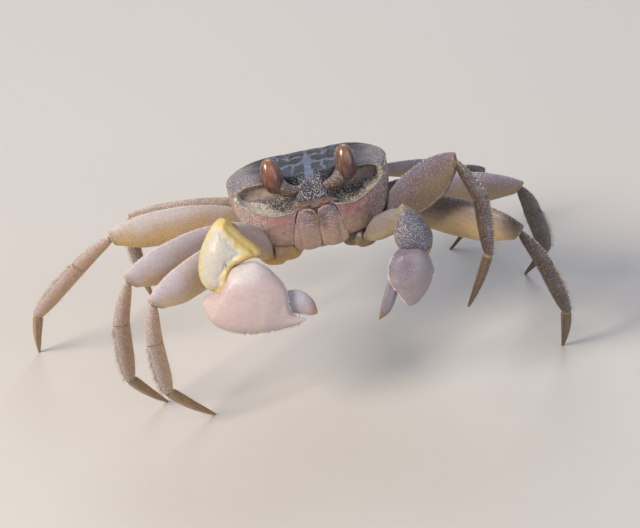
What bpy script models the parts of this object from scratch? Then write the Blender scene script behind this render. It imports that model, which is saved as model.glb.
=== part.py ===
"""Ghost crab, a life-size still model in an alert stance with its claws drawn up under the face.

Every plate of the shell is an object of its own: carapace, breast plate, tail flap, mouth plates,
eyes and eyestalks, feelers, four pieces to each claw and five pieces to each walking leg.
Lengths are in millimetres until a mesh is written, and then in metres. +Z is up, the crab faces -Y
and its left side is +X. The feet stand on the plane z = 0.
"""

import math
from dataclasses import dataclass

import bpy
from mathutils import Matrix, Vector

MM = 0.001
GAP = 0.3                      # clearance kept between two plates, mm
COLLECTION = "ghost_crab"
CUTTERS = "cutters"

# ---- driving dimensions of the body, mm -------------------------------------------------------
CARAPACE_WIDTH = 24.0
HALF_WIDTH = CARAPACE_WIDTH / 2
BODY_HEIGHT = 29.0             # body centre above the floor
BODY_PITCH = 20.0              # degrees, front edge raised
BODY_ROLL = 4.3                # degrees, left side raised
BODY_TURN = 2.0                # degrees, face turned to the crab's left

# ---- what turns the plain list of y stations into the shape of the carapace, mm -------------------
CAP_Y = -7.2                   # where the domed back ends and the face begins
REAR_Y = 10.2
BACK_STATIONS = (-7.2, -5.0, -2.5, 0.0, 2.5, 5.0, 7.0, 8.6, 9.6, 10.0)
PLAN = ((-7.2, 0.955), (-5.0, 1.0), (-2.0, 0.99), (1.0, 0.96), (4.0, 0.90), (7.0, 0.785), (9.0, 0.63),
        (10.2, 0.44))          # half width as a share of HALF_WIDTH
CROWN = ((-7.2, 2.3), (-5.0, 2.65), (-2.0, 2.9), (1.0, 2.9), (4.0, 2.55), (7.0, 1.75), (9.0, 0.75),
         (10.2, -0.2))
SHOULDER = ((-7.2, 1.1), (-5.0, 1.7), (-2.0, 1.6), (1.0, 1.0), (4.0, 0.2), (7.0, -0.6), (10.2, -1.3))
BELLY = ((-7.2, -8.2), (-5.0, -7.1), (-3.0, -6.2), (0.6, -6.0), (4.2, -5.1), (7.2, -4.0), (9.0, -3.2),
         (10.2, -2.7))
LEFT_SHARE = 0.94              # width of the left half against the right half
CROWN_POWER = 2.6
FLANK_POWER = 2.2
SECTION_POINTS = 44
FACE_RINGS = 17
FACE_CENTRE_Z = -2.2

# ---- the face: orbits, front lobe, mouth frame, mm ------------------------------------------------
ORBIT_INNER = 2.3
ORBIT_OUTER = 11.0
UPPER_RIM = ((2.0, 0.9), (4.5, 1.5), (6.9, 1.85), (9.0, 1.8), (11.2, 1.0))
LOWER_RIM = ((2.0, -2.2), (3.5, -2.6), (5.6, -2.8), (8.5, -1.8), (11.2, 0.2))
ORBIT_DEPTH = 1.7
CREST_Y = -10.1                # lower edge of the orbit, beside the mouth
CREST_SWEEP = 1.5              # how far that edge runs back towards the orbit's outer corner
BROW_Y = -8.5                  # upper edge of the orbit
BROW_SWEEP = 0.6               # how far it runs back at the outer corner
BROW_TUCK = 1.2                # and forward beside the front lobe
BROW_LEAN = 0.9                # run of the slope above the brow
LOBE_HALF_WIDTH = 2.1
LOBE_TIP = (-10.8, -1.0)       # y and z of the lobe's tip
MOUTH_HALF_WIDTH = 3.9
MOUTH_TOP = -2.4
MOUTH_RECESS = 1.3
MOUTH_PLATE_SETBACK = 0.35
CHEEK_SLOPE = 0.34

# ---- eyes, mm --------------------------------------------------------------------------------------
EYE_CENTRE = (5.4, -9.95, 3.15)
EYE_RADII = (1.45, 1.4, 2.62)
STALK_ROUTE = ((2.8, -9.5, 0.3), (3.2, -9.9, 0.6), (3.65, -10.0, 1.2))
STALK_RADIUS = 0.75


def table(rows, x):
    """Value at x along straight lines through rows of (x, value), flat beyond the ends."""
    if x <= rows[0][0]:
        return rows[0][1]
    for (x0, v0), (x1, v1) in zip(rows, rows[1:]):
        if x <= x1:
            return v0 + (v1 - v0) * (x - x0) / (x1 - x0)
    return rows[-1][1]


def smoothstep(edge0, edge1, x):
    """0 at edge0, 1 at edge1, smooth between."""
    t = min(max((x - edge0) / (edge1 - edge0), 0.0), 1.0)
    return t * t * (3 - 2 * t)


def material(name, color, roughness):
    """Principled material in one shell colour."""
    mat = bpy.data.materials.new(name)
    mat.use_nodes = True
    shader = mat.node_tree.nodes["Principled BSDF"]
    shader.inputs["Base Color"].default_value = (*color, 1.0)
    shader.inputs["Roughness"].default_value = roughness
    shader.inputs["Metallic"].default_value = 0.0
    mat.diffuse_color = (*color, 1.0)
    return mat


def add_part(name, rings, finish, origin, parent, place=Matrix.Identity(4)):
    """Closed loft through rings of points given in mm, as an object with its origin at origin."""
    count = len(rings[0])
    verts = [(Vector(p) - Vector(origin)) * MM for ring in rings for p in ring]
    faces = []
    for r in range(len(rings) - 1):
        for k in range(count):
            a, b = r * count + k, r * count + (k + 1) % count
            faces.append((a, b, b + count, a + count))
    faces.append(tuple(reversed(range(count))))
    faces.append(tuple(range((len(rings) - 1) * count, len(rings) * count)))
    mesh = bpy.data.meshes.new(name)
    mesh.from_pydata(verts, [], faces)
    face_outwards(mesh)
    mesh.shade_smooth()
    mesh.set_sharp_from_angle(angle=math.radians(35))
    mesh.materials.append(finish)
    obj = bpy.data.objects.new(name, mesh)
    bpy.data.collections[COLLECTION].objects.link(obj)
    obj.parent = parent
    obj.matrix_world = place @ Matrix.Translation(Vector(origin) * MM)
    return obj


def cut_away(obj, rings, name):
    """Take the loft through rings out of obj; the rings already carry the clearance."""
    cutter = add_part(name, rings, obj.data.materials[0], (0, 0, 0), obj.parent)
    bpy.data.collections[COLLECTION].objects.unlink(cutter)
    bpy.data.collections[CUTTERS].objects.link(cutter)
    cutter.hide_render = True
    cutter.display_type = "WIRE"
    cut = obj.modifiers.new(name, "BOOLEAN")
    cut.operation = "DIFFERENCE"
    cut.object = cutter


def face_outwards(mesh):
    """Flip a closed mesh whose volume comes out negative."""
    volume = 0.0
    for poly in mesh.polygons:
        corners = [mesh.vertices[i].co for i in poly.vertices]
        for b, c in zip(corners[1:], corners[2:]):
            volume += corners[0].dot(b.cross(c))
    if volume < 0:
        mesh.flip_normals()


def oval(centre, across, out, half_across, half_out, points, power=2.0):
    """Ring of a superellipse: half_across along across, half_out along out."""
    ring = []
    for k in range(points):
        angle = 2 * math.pi * k / points
        c, s = math.cos(angle), math.sin(angle)
        u = math.copysign(abs(c) ** (2 / power), c) * half_across
        v = math.copysign(abs(s) ** (2 / power), s) * half_out
        ring.append(centre + across * u + out * v)
    return ring


def slide_to_plane(ring, direction, plane_point, plane_normal):
    """Move a ring's points along direction until they lie in a plane."""
    slope = direction.dot(plane_normal)
    return [p + direction * ((plane_point - p).dot(plane_normal) / slope) for p in ring]


# ======================================== body ====================================================

def carapace_section(y, points=SECTION_POINTS):
    """Closed outline of the shell across the body at y: domed above, rounded flanks below."""
    half = table(PLAN, y) * HALF_WIDTH
    shoulder = table(SHOULDER, y)
    rise = table(CROWN, y) - shoulder
    drop = shoulder - table(BELLY, y)
    outline = []
    for k in range(points):
        angle = 2 * math.pi * k / points
        c, s = math.cos(angle), math.sin(angle)
        power = CROWN_POWER if s >= 0 else FLANK_POWER
        height = rise if s >= 0 else drop
        x = math.copysign(abs(c) ** (2 / power), c) * half
        z = shoulder + math.copysign(abs(s) ** (2 / power), s) * height
        outline.append((x, z))
    return outline


def face_depth(x, z):
    """How far forward (y) the face of the crab stands at x, z, hollowed by the orbits."""
    side = abs(x)
    upper, lower = table(UPPER_RIM, side), table(LOWER_RIM, side)
    crest = CREST_Y + CREST_SWEEP * min((side / ORBIT_OUTER) ** 2.2, 1.0)
    brow = BROW_Y + BROW_SWEEP * smoothstep(11.2, 8.5, side) - BROW_TUCK * smoothstep(5.0, 2.2, side)
    if z >= lower:
        share = min((z - lower) / (upper - lower), 1.0)
        inner = smoothstep(ORBIT_INNER, ORBIT_INNER + 1.0, side)
        outer = smoothstep(ORBIT_OUTER, ORBIT_OUTER - 1.2, side)
        hollow = ORBIT_DEPTH * inner * outer * (1 - abs(2 * share - 1) ** 4)
        y = crest + (brow - crest) * share + hollow + BROW_LEAN * max(z - upper, 0.0)
    else:
        frame = smoothstep(MOUTH_HALF_WIDTH, MOUTH_HALF_WIDTH - 0.5, side)
        frame *= smoothstep(MOUTH_TOP, MOUTH_TOP - 0.4, z)
        y = crest + CHEEK_SLOPE * (lower - z) + MOUTH_RECESS * frame
    lobe = smoothstep(LOBE_HALF_WIDTH + 0.5, LOBE_HALF_WIDTH - 0.3, side)
    lobe *= smoothstep(LOBE_TIP[1] - 0.5, LOBE_TIP[1], z)
    return y + (lobe_depth(z) - y) * lobe


def lobe_depth(z):
    """Depth of the front lobe, which slopes down and forward between the eyes."""
    return table(((LOBE_TIP[1], LOBE_TIP[0]), (0.8, -9.7), (1.9, -8.2), (2.4, -7.2)), z)


def face_rings():
    """Rings of the face from its middle out to the last section of the back."""
    edge = carapace_section(CAP_Y)
    rings = []
    for r in range(1, FACE_RINGS + 1):
        share = math.sin(math.pi / 2 * r / FACE_RINGS) ** 0.9
        rounding = math.sqrt(max(1 - share ** 14, 0.0))
        ring = []
        for x0, z0 in edge:
            x, z = x0 * share, FACE_CENTRE_Z + (z0 - FACE_CENTRE_Z) * share
            ring.append((x, CAP_Y + (face_depth(x, z) - CAP_Y) * rounding, z))
        rings.append(ring)
    return rings


def build_carapace(place, parent, finish):
    """The back shell with the face, in the body's own frame."""
    back = [[(x, y, z) for x, z in carapace_section(y)] for y in BACK_STATIONS[1:]]
    middle_z = -1.2
    for share in (0.75, 0.35):
        last = carapace_section(REAR_Y)
        y = REAR_Y + 0.25 * (1 - share)
        back.append([(x * share, y, middle_z + (z - middle_z) * share) for x, z in last])
    rings = [[(x * LEFT_SHARE if x > 0 else x, y, z) for x, y, z in ring] for ring in face_rings() + back]
    return add_part("carapace", rings, finish, (0, 0, 0), parent, place)


def build_breast_plate(place, parent, finish):
    """The sternum, the broad plate under the body that the legs spring from."""
    stations = ((-5.4, 3.2, -8.0, -8.7), (-3.2, 6.2, -6.9, -9.1), (0.6, 7.5, -6.4, -9.2),
                (4.2, 7.3, -5.5, -8.6), (7.2, 6.0, -4.4, -7.4), (9.0, 3.6, -3.6, -5.9))
    rings = []
    for y, half, top, bottom in stations:
        centre = Vector((0, y, (top + bottom) / 2))
        rings.append(oval(centre, Vector((1, 0, 0)), Vector((0, 0, 1)), half, (top - bottom) / 2, 24, 3.0))
    return add_part("breast_plate", rings, finish, (0, 0, 0), parent, place)


def build_tail_flap(place, parent, finish):
    """The abdomen, folded round the rear edge and forward under the breast plate."""
    path = ((11.1, -1.6, 3.6), (10.9, -3.6, 3.5), (10.2, -5.6, 3.3), (8.6, -7.6, 3.0), (5.6, -9.2, 2.6),
            (2.0, -9.95, 2.1), (-1.6, -9.95, 1.5), (-3.6, -9.8, 0.7))
    rings = []
    for k, (y, z, half) in enumerate(path):
        before, after = path[max(k - 1, 0)], path[min(k + 1, len(path) - 1)]
        run = Vector((0, after[0] - before[0], after[1] - before[1])).normalized()
        out = Vector((1, 0, 0)).cross(run)
        rings.append(oval(Vector((0, y, z)), Vector((1, 0, 0)), out, half, 0.35, 16, 2.8))
    return add_part("tail_flap", rings, finish, (0, 0, 0), parent, place)


def build_mouth_plate(side, place, parent, finish):
    """One third maxilliped, half of the double door over the mouth."""
    rings = []
    for z, inner, outer, thick in ((-2.75, 0.5, 2.6, 0.35), (-3.3, 0.2, 2.9, 0.5), (-5.0, 0.15, 3.3, 0.55),
                                   (-7.0, 0.15, 3.4, 0.5), (-8.2, 0.2, 2.8, 0.4), (-8.7, 0.3, 1.6, 0.3)):
        y = CREST_Y + CHEEK_SLOPE * (LOWER_RIM[0][1] - z) + MOUTH_PLATE_SETBACK
        centre = Vector((side * (inner + outer) / 2, y, z))
        rings.append(oval(centre, Vector((1, 0, 0)), Vector((0, 1, 0)), (outer - inner) / 2, thick, 14, 2.6))
    return add_part(f"mouth_plate_{side_name(side)}", rings, finish, (0, 0, 0), parent, place)


def side_name(side):
    """left for +1 and right for -1."""
    return "left" if side > 0 else "right"


def build_eye(side, place, parent, stalk_finish, cornea_finish):
    """An upright eye: the long glossy cornea and the short stalk that carries it."""
    route = [Vector((side * x, y, z)) for x, y, z in STALK_ROUTE]
    rings = []
    for k, point in enumerate(route):
        run = (route[min(k + 1, len(route) - 1)] - route[max(k - 1, 0)]).normalized()
        across = run.cross(Vector((0, 1, 0))).normalized()
        rings.append(oval(point, across, run.cross(across), STALK_RADIUS, STALK_RADIUS, 12))
    add_part(f"eyestalk_{side_name(side)}", rings, stalk_finish, route[0], parent, place)

    centre = Vector((side * EYE_CENTRE[0], EYE_CENTRE[1], EYE_CENTRE[2]))
    bpy.ops.mesh.primitive_uv_sphere_add(segments=20, ring_count=12, radius=1.0)
    eye = bpy.context.object
    eye.name = eye.data.name = f"eye_{side_name(side)}"
    for vertex in eye.data.vertices:
        vertex.co = Vector(c * r for c, r in zip(vertex.co, EYE_RADII)) * MM
    eye.data.shade_smooth()
    eye.data.materials.append(cornea_finish)
    for collection in list(eye.users_collection):
        collection.objects.unlink(eye)
    bpy.data.collections[COLLECTION].objects.link(eye)
    eye.parent = parent
    eye.matrix_world = place @ Matrix.Translation(centre * MM)


def build_feeler(side, place, parent, finish):
    """The short second antenna beside the front lobe."""
    start, end = Vector((side * 3.0, -10.75, -1.35)), Vector((side * 4.4, -11.6, -0.8))
    run = (end - start).normalized()
    across = run.cross(Vector((0, 0, 1))).normalized()
    rings = []
    for share, radius in ((0.0, 0.42), (0.3, 0.34), (1.0, 0.25)):
        rings.append(oval(start.lerp(end, share), across, run.cross(across), radius, radius, 8))
    add_part(f"feeler_{side_name(side)}", rings, finish, start, parent, place)


# ======================================== legs ====================================================

SEGMENTS = ("ischium", "merus", "carpus", "propodus", "dactylus")
# share of the length and share of the greatest depth, for each kind of segment
OUTLINES = {
    "ischium": ((0.0, 0.80), (0.5, 1.0), (1.0, 0.85)),
    "merus": ((0.0, 0.46), (0.12, 0.66), (0.3, 0.85), (0.52, 1.0), (0.74, 0.93), (0.88, 0.72), (1.0, 0.44)),
    "carpus": ((0.0, 0.44), (0.3, 0.74), (0.6, 0.90), (1.0, 1.0)),
    "propodus": ((0.0, 1.0), (0.5, 1.0), (0.85, 0.80), (1.0, 0.60)),
    "dactylus": ((0.0, 0.85), (0.25, 0.90), (0.6, 0.66), (0.85, 0.45), (1.0, 0.34)),
}
BOW = {"merus": 0.12, "carpus": 0.16, "propodus": 0.10, "dactylus": 0.22}   # bow up, share of half depth
FLATNESS = {"ischium": 0.85, "merus": 0.44, "carpus": 0.58, "propodus": 0.55, "dactylus": 0.66}
TWIST = {"ischium": 1.0, "merus": 1.0, "carpus": 0.5, "propodus": 0.3, "dactylus": 0.3}   # share of twist
LEG_POINTS = 12
THINNEST = 0.27                # least half thickness anywhere on a leg, mm


@dataclass
class LegPair:
    """What a left and a right leg share: the hip in the body's frame, lengths and depths, mm."""
    hip: tuple
    lengths: tuple
    depths: tuple


@dataclass
class Stance:
    """How one leg is held, in degrees.

    heading is how far its plane swings forward from sideways, lean how far that plane tips back,
    pitches the rise of ischium, merus, carpus and propodus in that plane, and twist how far the
    blades turn about their own length, upper edge backwards. The dactylus comes down to the floor
    by itself, inward or outward, unless raised gives its own pitch.
    """
    heading: float
    lean: float
    pitches: tuple
    twist: float = 0.0
    inward: bool = True
    raised: float = None


LEG_PAIRS = {
    1: LegPair((7.2, -3.0, -6.4), (3.2, 19.2, 5.9, 9.0, 10.8), (2.3, 5.8, 2.7, 2.7, 1.6)),
    2: LegPair((8.2, 0.6, -6.2), (3.2, 21.6, 6.7, 11.0, 10.2), (2.3, 5.9, 2.7, 2.7, 1.6)),
    3: LegPair((8.0, 4.2, -5.6), (3.2, 19.8, 7.3, 12.7, 10.0), (2.2, 5.5, 2.6, 2.7, 1.5)),
    4: LegPair((6.8, 7.2, -4.6), (3.2, 17.6, 5.0, 8.4, 7.4), (1.8, 3.2, 1.9, 2.0, 1.3)),
}
STANCES = {
    (1, -1): Stance(39, 5, (1, -2, -78, -94), 8),
    (2, -1): Stance(37, -4, (9, 7, -72, -93), 16),
    (3, -1): Stance(12, -22, (8, 7, -47, -57), 32, inward=False),
    (4, -1): Stance(-5, -17, (-3, -6, -83, -92), 18),
    (1, 1): Stance(42, 4, (-16, 48, -45, -82), raised=-109),
    (2, 1): Stance(35, -18, (5, 5, -67, -82), 28),
    (3, 1): Stance(15, -28, (19, 6, -80, -86), 22),
    (4, 1): Stance(-30, -8, (14, -25, -34, -88)),
}


def leg_joints(pair, stance, side, body):
    """Joint centres from hip to foot, and the normal of the leg's plane."""
    heading, lean = math.radians(stance.heading), math.radians(stance.lean)
    out = Vector((side * math.cos(heading), -math.sin(heading), 0))
    normal = Vector((side * math.sin(heading), math.cos(heading), 0))
    up = Vector((0, 0, 1)) * math.cos(lean) + normal * math.sin(lean)
    joints = [body @ Vector((side * pair.hip[0], pair.hip[1], pair.hip[2]))]
    for pitch, length in zip(stance.pitches, pair.lengths):
        angle = math.radians(pitch)
        joints.append(joints[-1] + (out * math.cos(angle) + up * math.sin(angle)) * length)
    if stance.raised is not None:
        angle = math.radians(stance.raised)
    else:
        drop = joints[-1].z / up.z / pair.lengths[4]
        angle = -math.asin(min(drop, 0.999))
        angle = -math.pi - angle if stance.inward else angle
    joints.append(joints[-1] + (out * math.cos(angle) + up * math.sin(angle)) * pair.lengths[4])
    return joints, out.cross(up)


def limb_piece(start, end, before, after, normal, half_depth, kind, twist, foot=None):
    """Rings of one segment, its ends cut on the plane that halves the bend to its neighbour."""
    run = (end - start).normalized()
    deep = Matrix.Rotation(math.radians(twist * TWIST[kind]), 3, run) @ normal.cross(run).normalized()
    flat = run.cross(deep)
    rings = []
    stations = OUTLINES[kind]
    for k, (share, bulge) in enumerate(stations):
        half = max(half_depth * bulge, THINNEST)
        thick = max(half_depth * bulge * FLATNESS[kind], THINNEST)
        bow = half_depth * BOW.get(kind, 0.0) * math.sin(math.pi * share)
        centre = start.lerp(end, share) + deep * bow
        ring = oval(centre, deep, flat, half, thick, LEG_POINTS, 2.0)
        if k == 0:
            cut = ((before if before else run) + run).normalized()
            ring = slide_to_plane(ring, run, start + cut * GAP / 2, cut)
        elif k == len(stations) - 1 and foot is not None:
            ring = slide_to_plane(ring, run, foot, Vector((0, 0, 1)))
        elif k == len(stations) - 1:
            cut = ((after if after else run) + run).normalized()
            ring = slide_to_plane(ring, run, end - cut * GAP / 2, cut)
        rings.append(ring)
    return rings


def build_leg(number, side, body, parent, finish):
    """The five pieces of one walking leg."""
    pair, stance = LEG_PAIRS[number], STANCES[(number, side)]
    joints, normal = leg_joints(pair, stance, side, body)
    runs = [(b - a).normalized() for a, b in zip(joints, joints[1:])]
    for k, kind in enumerate(SEGMENTS):
        before = runs[k - 1] if k else None
        after = runs[k + 1] if k < len(runs) - 1 else None
        on_floor = kind == "dactylus" and stance.raised is None
        foot = Vector((joints[-1].x, joints[-1].y, 0)) if on_floor else None
        rings = limb_piece(joints[k], joints[k + 1], before, after, normal, pair.depths[k] / 2, kind,
                           -side * stance.twist, foot)
        add_part(f"leg_{number}_{side_name(side)}_{kind}", rings, finish, joints[k], parent)


# ======================================== claws ===================================================

@dataclass
class Claw:
    """A claw by the places of its joints and the size of its plates, mm, in the standing frame."""
    side: int
    shoulder: tuple
    elbow: tuple
    wrist: tuple
    heel: tuple                # rear end of the palm
    knuckle: tuple             # front end of the palm, between the fingers
    thumb_tip: tuple
    finger_root: tuple
    finger_tip: tuple
    face: tuple                # direction that the palm's outer side faces
    palm_height: float
    palm_thickness: float
    arm: float                 # greatest diameter of the merus
    elbow_plate: float         # greatest diameter of the carpus


CLAWS = (
    Claw(side=-1, shoulder=(-7.0, -9.3, 22.3), elbow=(-12.1, -13.8, 31.2), wrist=(-13.0, -19.0, 25.4),
         heel=(-16.9, -20.4, 23.6), knuckle=(-6.2, -21.4, 21.4), thumb_tip=(-2.2, -20.6, 17.4),
         finger_root=(-5.6, -20.8, 23.4), finger_tip=(-0.9, -20.2, 19.3), face=(-0.1, -0.94, 0.34),
         palm_height=9.4, palm_thickness=5.2, arm=3.8, elbow_plate=9.0),
    Claw(side=1, shoulder=(7.4, -9.2, 23.4), elbow=(12.7, -14.4, 29.6), wrist=(13.8, -17.6, 25.6),
         heel=(13.6, -17.8, 26.0), knuckle=(11.6, -19.4, 19.6), thumb_tip=(11.4, -20.0, 17.2),
         finger_root=(9.7, -19.4, 21.2), finger_tip=(7.6, -19.4, 16.4), face=(0.1, -0.97, 0.2),
         palm_height=5.9, palm_thickness=4.0, arm=3.2, elbow_plate=5.0),
)


def tapered(points, across, radii, flatness, count=14, power=2.2):
    """Rings along a route of points; radii are half heights and flatness the share of thickness."""
    rings = []
    for k, (point, radius) in enumerate(zip(points, radii)):
        run = (points[min(k + 1, len(points) - 1)] - points[max(k - 1, 0)]).normalized()
        face = (across - run * across.dot(run)).normalized()
        rings.append(oval(point, run.cross(face), face, radius, radius * flatness, count, power))
    return rings


def between(a, b, shares):
    """Points at the given shares of the way from a to b."""
    return [a.lerp(b, s) for s in shares]


def build_claw(claw, parent, finish, tip_finish):
    """Merus, carpus, palm with its fixed finger, and the movable finger."""
    tag = side_name(claw.side)
    shoulder, elbow, wrist = Vector(claw.shoulder), Vector(claw.elbow), Vector(claw.wrist)
    face = Vector(claw.face).normalized()

    arm = [r * claw.arm / 2 for r in (0.55, 0.85, 1.0, 0.72)]
    rings = tapered(between(shoulder, elbow, (0, 0.3, 0.7, 0.9)), face, arm, 0.8)
    merus = add_part(f"claw_{tag}_merus", rings, finish, shoulder, parent)

    plate = [r * claw.elbow_plate / 2 for r in (0.42, 0.85, 1.0, 0.62)]
    route = between(elbow, wrist, (0.03, 0.3, 0.65, 0.95))
    add_part(f"claw_{tag}_carpus", tapered(route, face, plate, 0.62), finish, elbow, parent)
    carpus_room = tapered(route, face, [r + GAP for r in plate], 0.64)
    cut_away(merus, carpus_room, f"claw_{tag}_carpus_room")

    heel, knuckle, thumb = Vector(claw.heel), Vector(claw.knuckle), Vector(claw.thumb_tip)
    points = between(heel, knuckle, (0, 0.06, 0.2, 0.45, 0.7, 0.9))
    points += between(knuckle, thumb, (0.1, 0.55, 1.0))
    height = claw.palm_height / 2
    radii = [height * r for r in (0.3, 0.55, 0.86, 1.0, 0.9, 0.62, 0.34, 0.2, 0.09)]
    rings = tapered(points, face, radii, claw.palm_thickness / claw.palm_height, 18)
    palm = add_part(f"claw_{tag}_palm", rings, finish, wrist, parent)
    cut_away(palm, carpus_room, f"claw_{tag}_carpus_room_2")

    root, tip = Vector(claw.finger_root), Vector(claw.finger_tip)
    radii = [height * r for r in (0.26, 0.28, 0.2, 0.08)]
    route = between(root, tip, (0, 0.3, 0.7, 1.0))
    add_part(f"claw_{tag}_finger", tapered(route, face, radii, 0.7, 12), tip_finish, root, parent)
    cut_away(palm, tapered(route, face, [r + GAP for r in radii], 0.8, 12), f"claw_{tag}_finger_room")


# ======================================== assembly =================================================

def clear_scene():
    """Remove what the scene holds and make the collections for the plates and their cutters."""
    for obj in list(bpy.data.objects):
        bpy.data.objects.remove(obj, do_unlink=True)
    for name in (COLLECTION, CUTTERS):
        bpy.context.scene.collection.children.link(bpy.data.collections.new(name))


def centre_over_origin(root):
    """Move the whole crab so that the middle of its box stands over the origin."""
    bpy.context.view_layer.update()
    corners = [obj.matrix_world @ v.co for obj in bpy.data.collections[COLLECTION].objects
               if obj.type == "MESH" for v in obj.data.vertices]
    for axis in (0, 1):
        values = [corner[axis] for corner in corners]
        root.location[axis] = -(min(values) + max(values)) / 2


def main():
    """Build every plate, then stand the crab on the middle of its own footprint."""
    clear_scene()
    shell = material("mottled_shell", (0.30, 0.27, 0.33), 0.45)
    pale = material("pale_shell", (0.62, 0.48, 0.42), 0.45)
    limb = material("leg_shell", (0.50, 0.38, 0.30), 0.42)
    ivory = material("claw_shell", (0.72, 0.62, 0.55), 0.40)
    dark = material("cornea", (0.16, 0.06, 0.03), 0.08)

    root = bpy.data.objects.new("crab_root", None)
    bpy.data.collections[COLLECTION].objects.link(root)

    roll = Matrix.Rotation(math.radians(BODY_TURN), 4, "Z") @ Matrix.Rotation(math.radians(-BODY_ROLL), 4, "Y")
    tilt = roll @ Matrix.Rotation(math.radians(-BODY_PITCH), 4, "X")
    body = Matrix.Translation((0, 0, BODY_HEIGHT)) @ tilt
    place = Matrix.Translation((0, 0, BODY_HEIGHT * MM)) @ tilt

    build_carapace(place, root, shell)
    build_breast_plate(place, root, pale)
    build_tail_flap(place, root, pale)
    for side in (-1, 1):
        build_mouth_plate(side, place, root, pale)
        build_eye(side, place, root, shell, dark)
        build_feeler(side, place, root, pale)
        for number in LEG_PAIRS:
            build_leg(number, side, body, root, limb)
    for claw in CLAWS:
        build_claw(claw, root, ivory, pale)
    centre_over_origin(root)


main()
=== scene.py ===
"""The looks of a ghost crab that stands on seven of its legs with both claws drawn up under its face.

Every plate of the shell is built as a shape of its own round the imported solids: carapace, orbit rims,
breast plates, tail segments, mouth plates, eyes, claws and legs, with the soft membranes between them,
and over them the granules, spines, teeth and bristles. Lengths are in millimetres in the crab's
standing frame until a mesh is written, and then in metres. +Z is up and the crab faces -Y.
"""

import logging
import math
from dataclasses import dataclass
from enum import Enum
from typing import Dict, List, Optional, Sequence, Tuple, Union

import bpy
import numpy as np
from mathutils import Matrix, Vector, noise

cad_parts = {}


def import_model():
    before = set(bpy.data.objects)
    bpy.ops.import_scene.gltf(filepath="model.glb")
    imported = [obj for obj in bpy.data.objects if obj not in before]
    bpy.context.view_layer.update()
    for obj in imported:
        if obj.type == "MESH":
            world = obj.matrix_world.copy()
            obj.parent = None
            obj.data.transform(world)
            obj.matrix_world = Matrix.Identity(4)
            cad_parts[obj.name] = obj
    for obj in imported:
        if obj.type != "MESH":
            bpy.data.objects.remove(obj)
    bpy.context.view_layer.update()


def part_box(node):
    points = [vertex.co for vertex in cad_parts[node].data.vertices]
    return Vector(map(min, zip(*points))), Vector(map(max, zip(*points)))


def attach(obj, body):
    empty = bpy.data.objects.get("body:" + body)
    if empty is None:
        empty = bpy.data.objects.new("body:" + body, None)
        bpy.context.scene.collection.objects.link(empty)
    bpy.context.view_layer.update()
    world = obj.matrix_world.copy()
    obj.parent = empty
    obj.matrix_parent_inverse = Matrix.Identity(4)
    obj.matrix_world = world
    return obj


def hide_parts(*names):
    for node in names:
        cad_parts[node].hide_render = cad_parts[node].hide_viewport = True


MM = 0.001
TAU = 2 * math.pi
Array = np.ndarray
Obj = bpy.types.Object
Material = bpy.types.Material
Tree = bpy.types.NodeTree
Socket = bpy.types.NodeSocket
Point = Tuple[float, float, float]
Rows = Sequence[Tuple[float, float]]
Swept = Tuple[Array, Array, Array]     # rings, their own coordinates in mm and one more value per point
Traits = Dict[str, Array]
EVEN = 0.5                             # span of a piece whose colour doesn't change towards its ends
FAR = 9.0                              # mm, farther than any stroke or line reaches
log = logging.getLogger("ghost_crab")


# ==================================== sums ========================================================

def vec(*values: float) -> Array:
    """Array of floats."""
    return np.array(values, dtype=float)


def unit(v: Array) -> Array:
    """Vectors scaled to length one along the last axis."""
    return v / np.maximum(np.linalg.norm(v, axis=-1, keepdims=True), 1e-9)


def smoothstep(low: float, high: float, x: Array) -> Array:
    """0 at low, 1 at high, smooth between."""
    t = np.clip((x - low) / (high - low), 0.0, 1.0)
    return t * t * (3 - 2 * t)


def bell(x: Array, centre: float, width: float) -> Array:
    """1 at centre, falling off smoothly over width."""
    return np.exp(-((x - centre) / width) ** 2)


def spline(rows: Rows, x: Array) -> Array:
    """Smooth curve through rows of (x, value) that never overshoots them.

    Args:
        rows: knots with rising x.
        x: where to read the curve; beyond the ends it stays level.

    Returns:
        The value at every x.
    """
    knots = np.array(rows, dtype=float)
    xs, ys = knots[:, 0], knots[:, 1]
    x = np.clip(np.asarray(x, dtype=float), xs[0], xs[-1])
    rise = np.diff(ys) / np.diff(xs)
    inner = np.zeros(max(len(rise) - 1, 0))
    same = rise[1:] * rise[:-1] > 0
    inner[same] = 2 * rise[1:][same] * rise[:-1][same] / (rise[1:][same] + rise[:-1][same])
    slope = np.concatenate(([rise[0]], inner, [rise[-1]]))
    k = np.clip(np.searchsorted(xs, x, side="right") - 1, 0, len(xs) - 2)
    span = xs[k + 1] - xs[k]
    t = (x - xs[k]) / span
    return ((2 * t ** 3 - 3 * t ** 2 + 1) * ys[k] + (t ** 3 - 2 * t ** 2 + t) * span * slope[k]
            + (3 * t ** 2 - 2 * t ** 3) * ys[k + 1] + (t ** 3 - t ** 2) * span * slope[k + 1])


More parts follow.
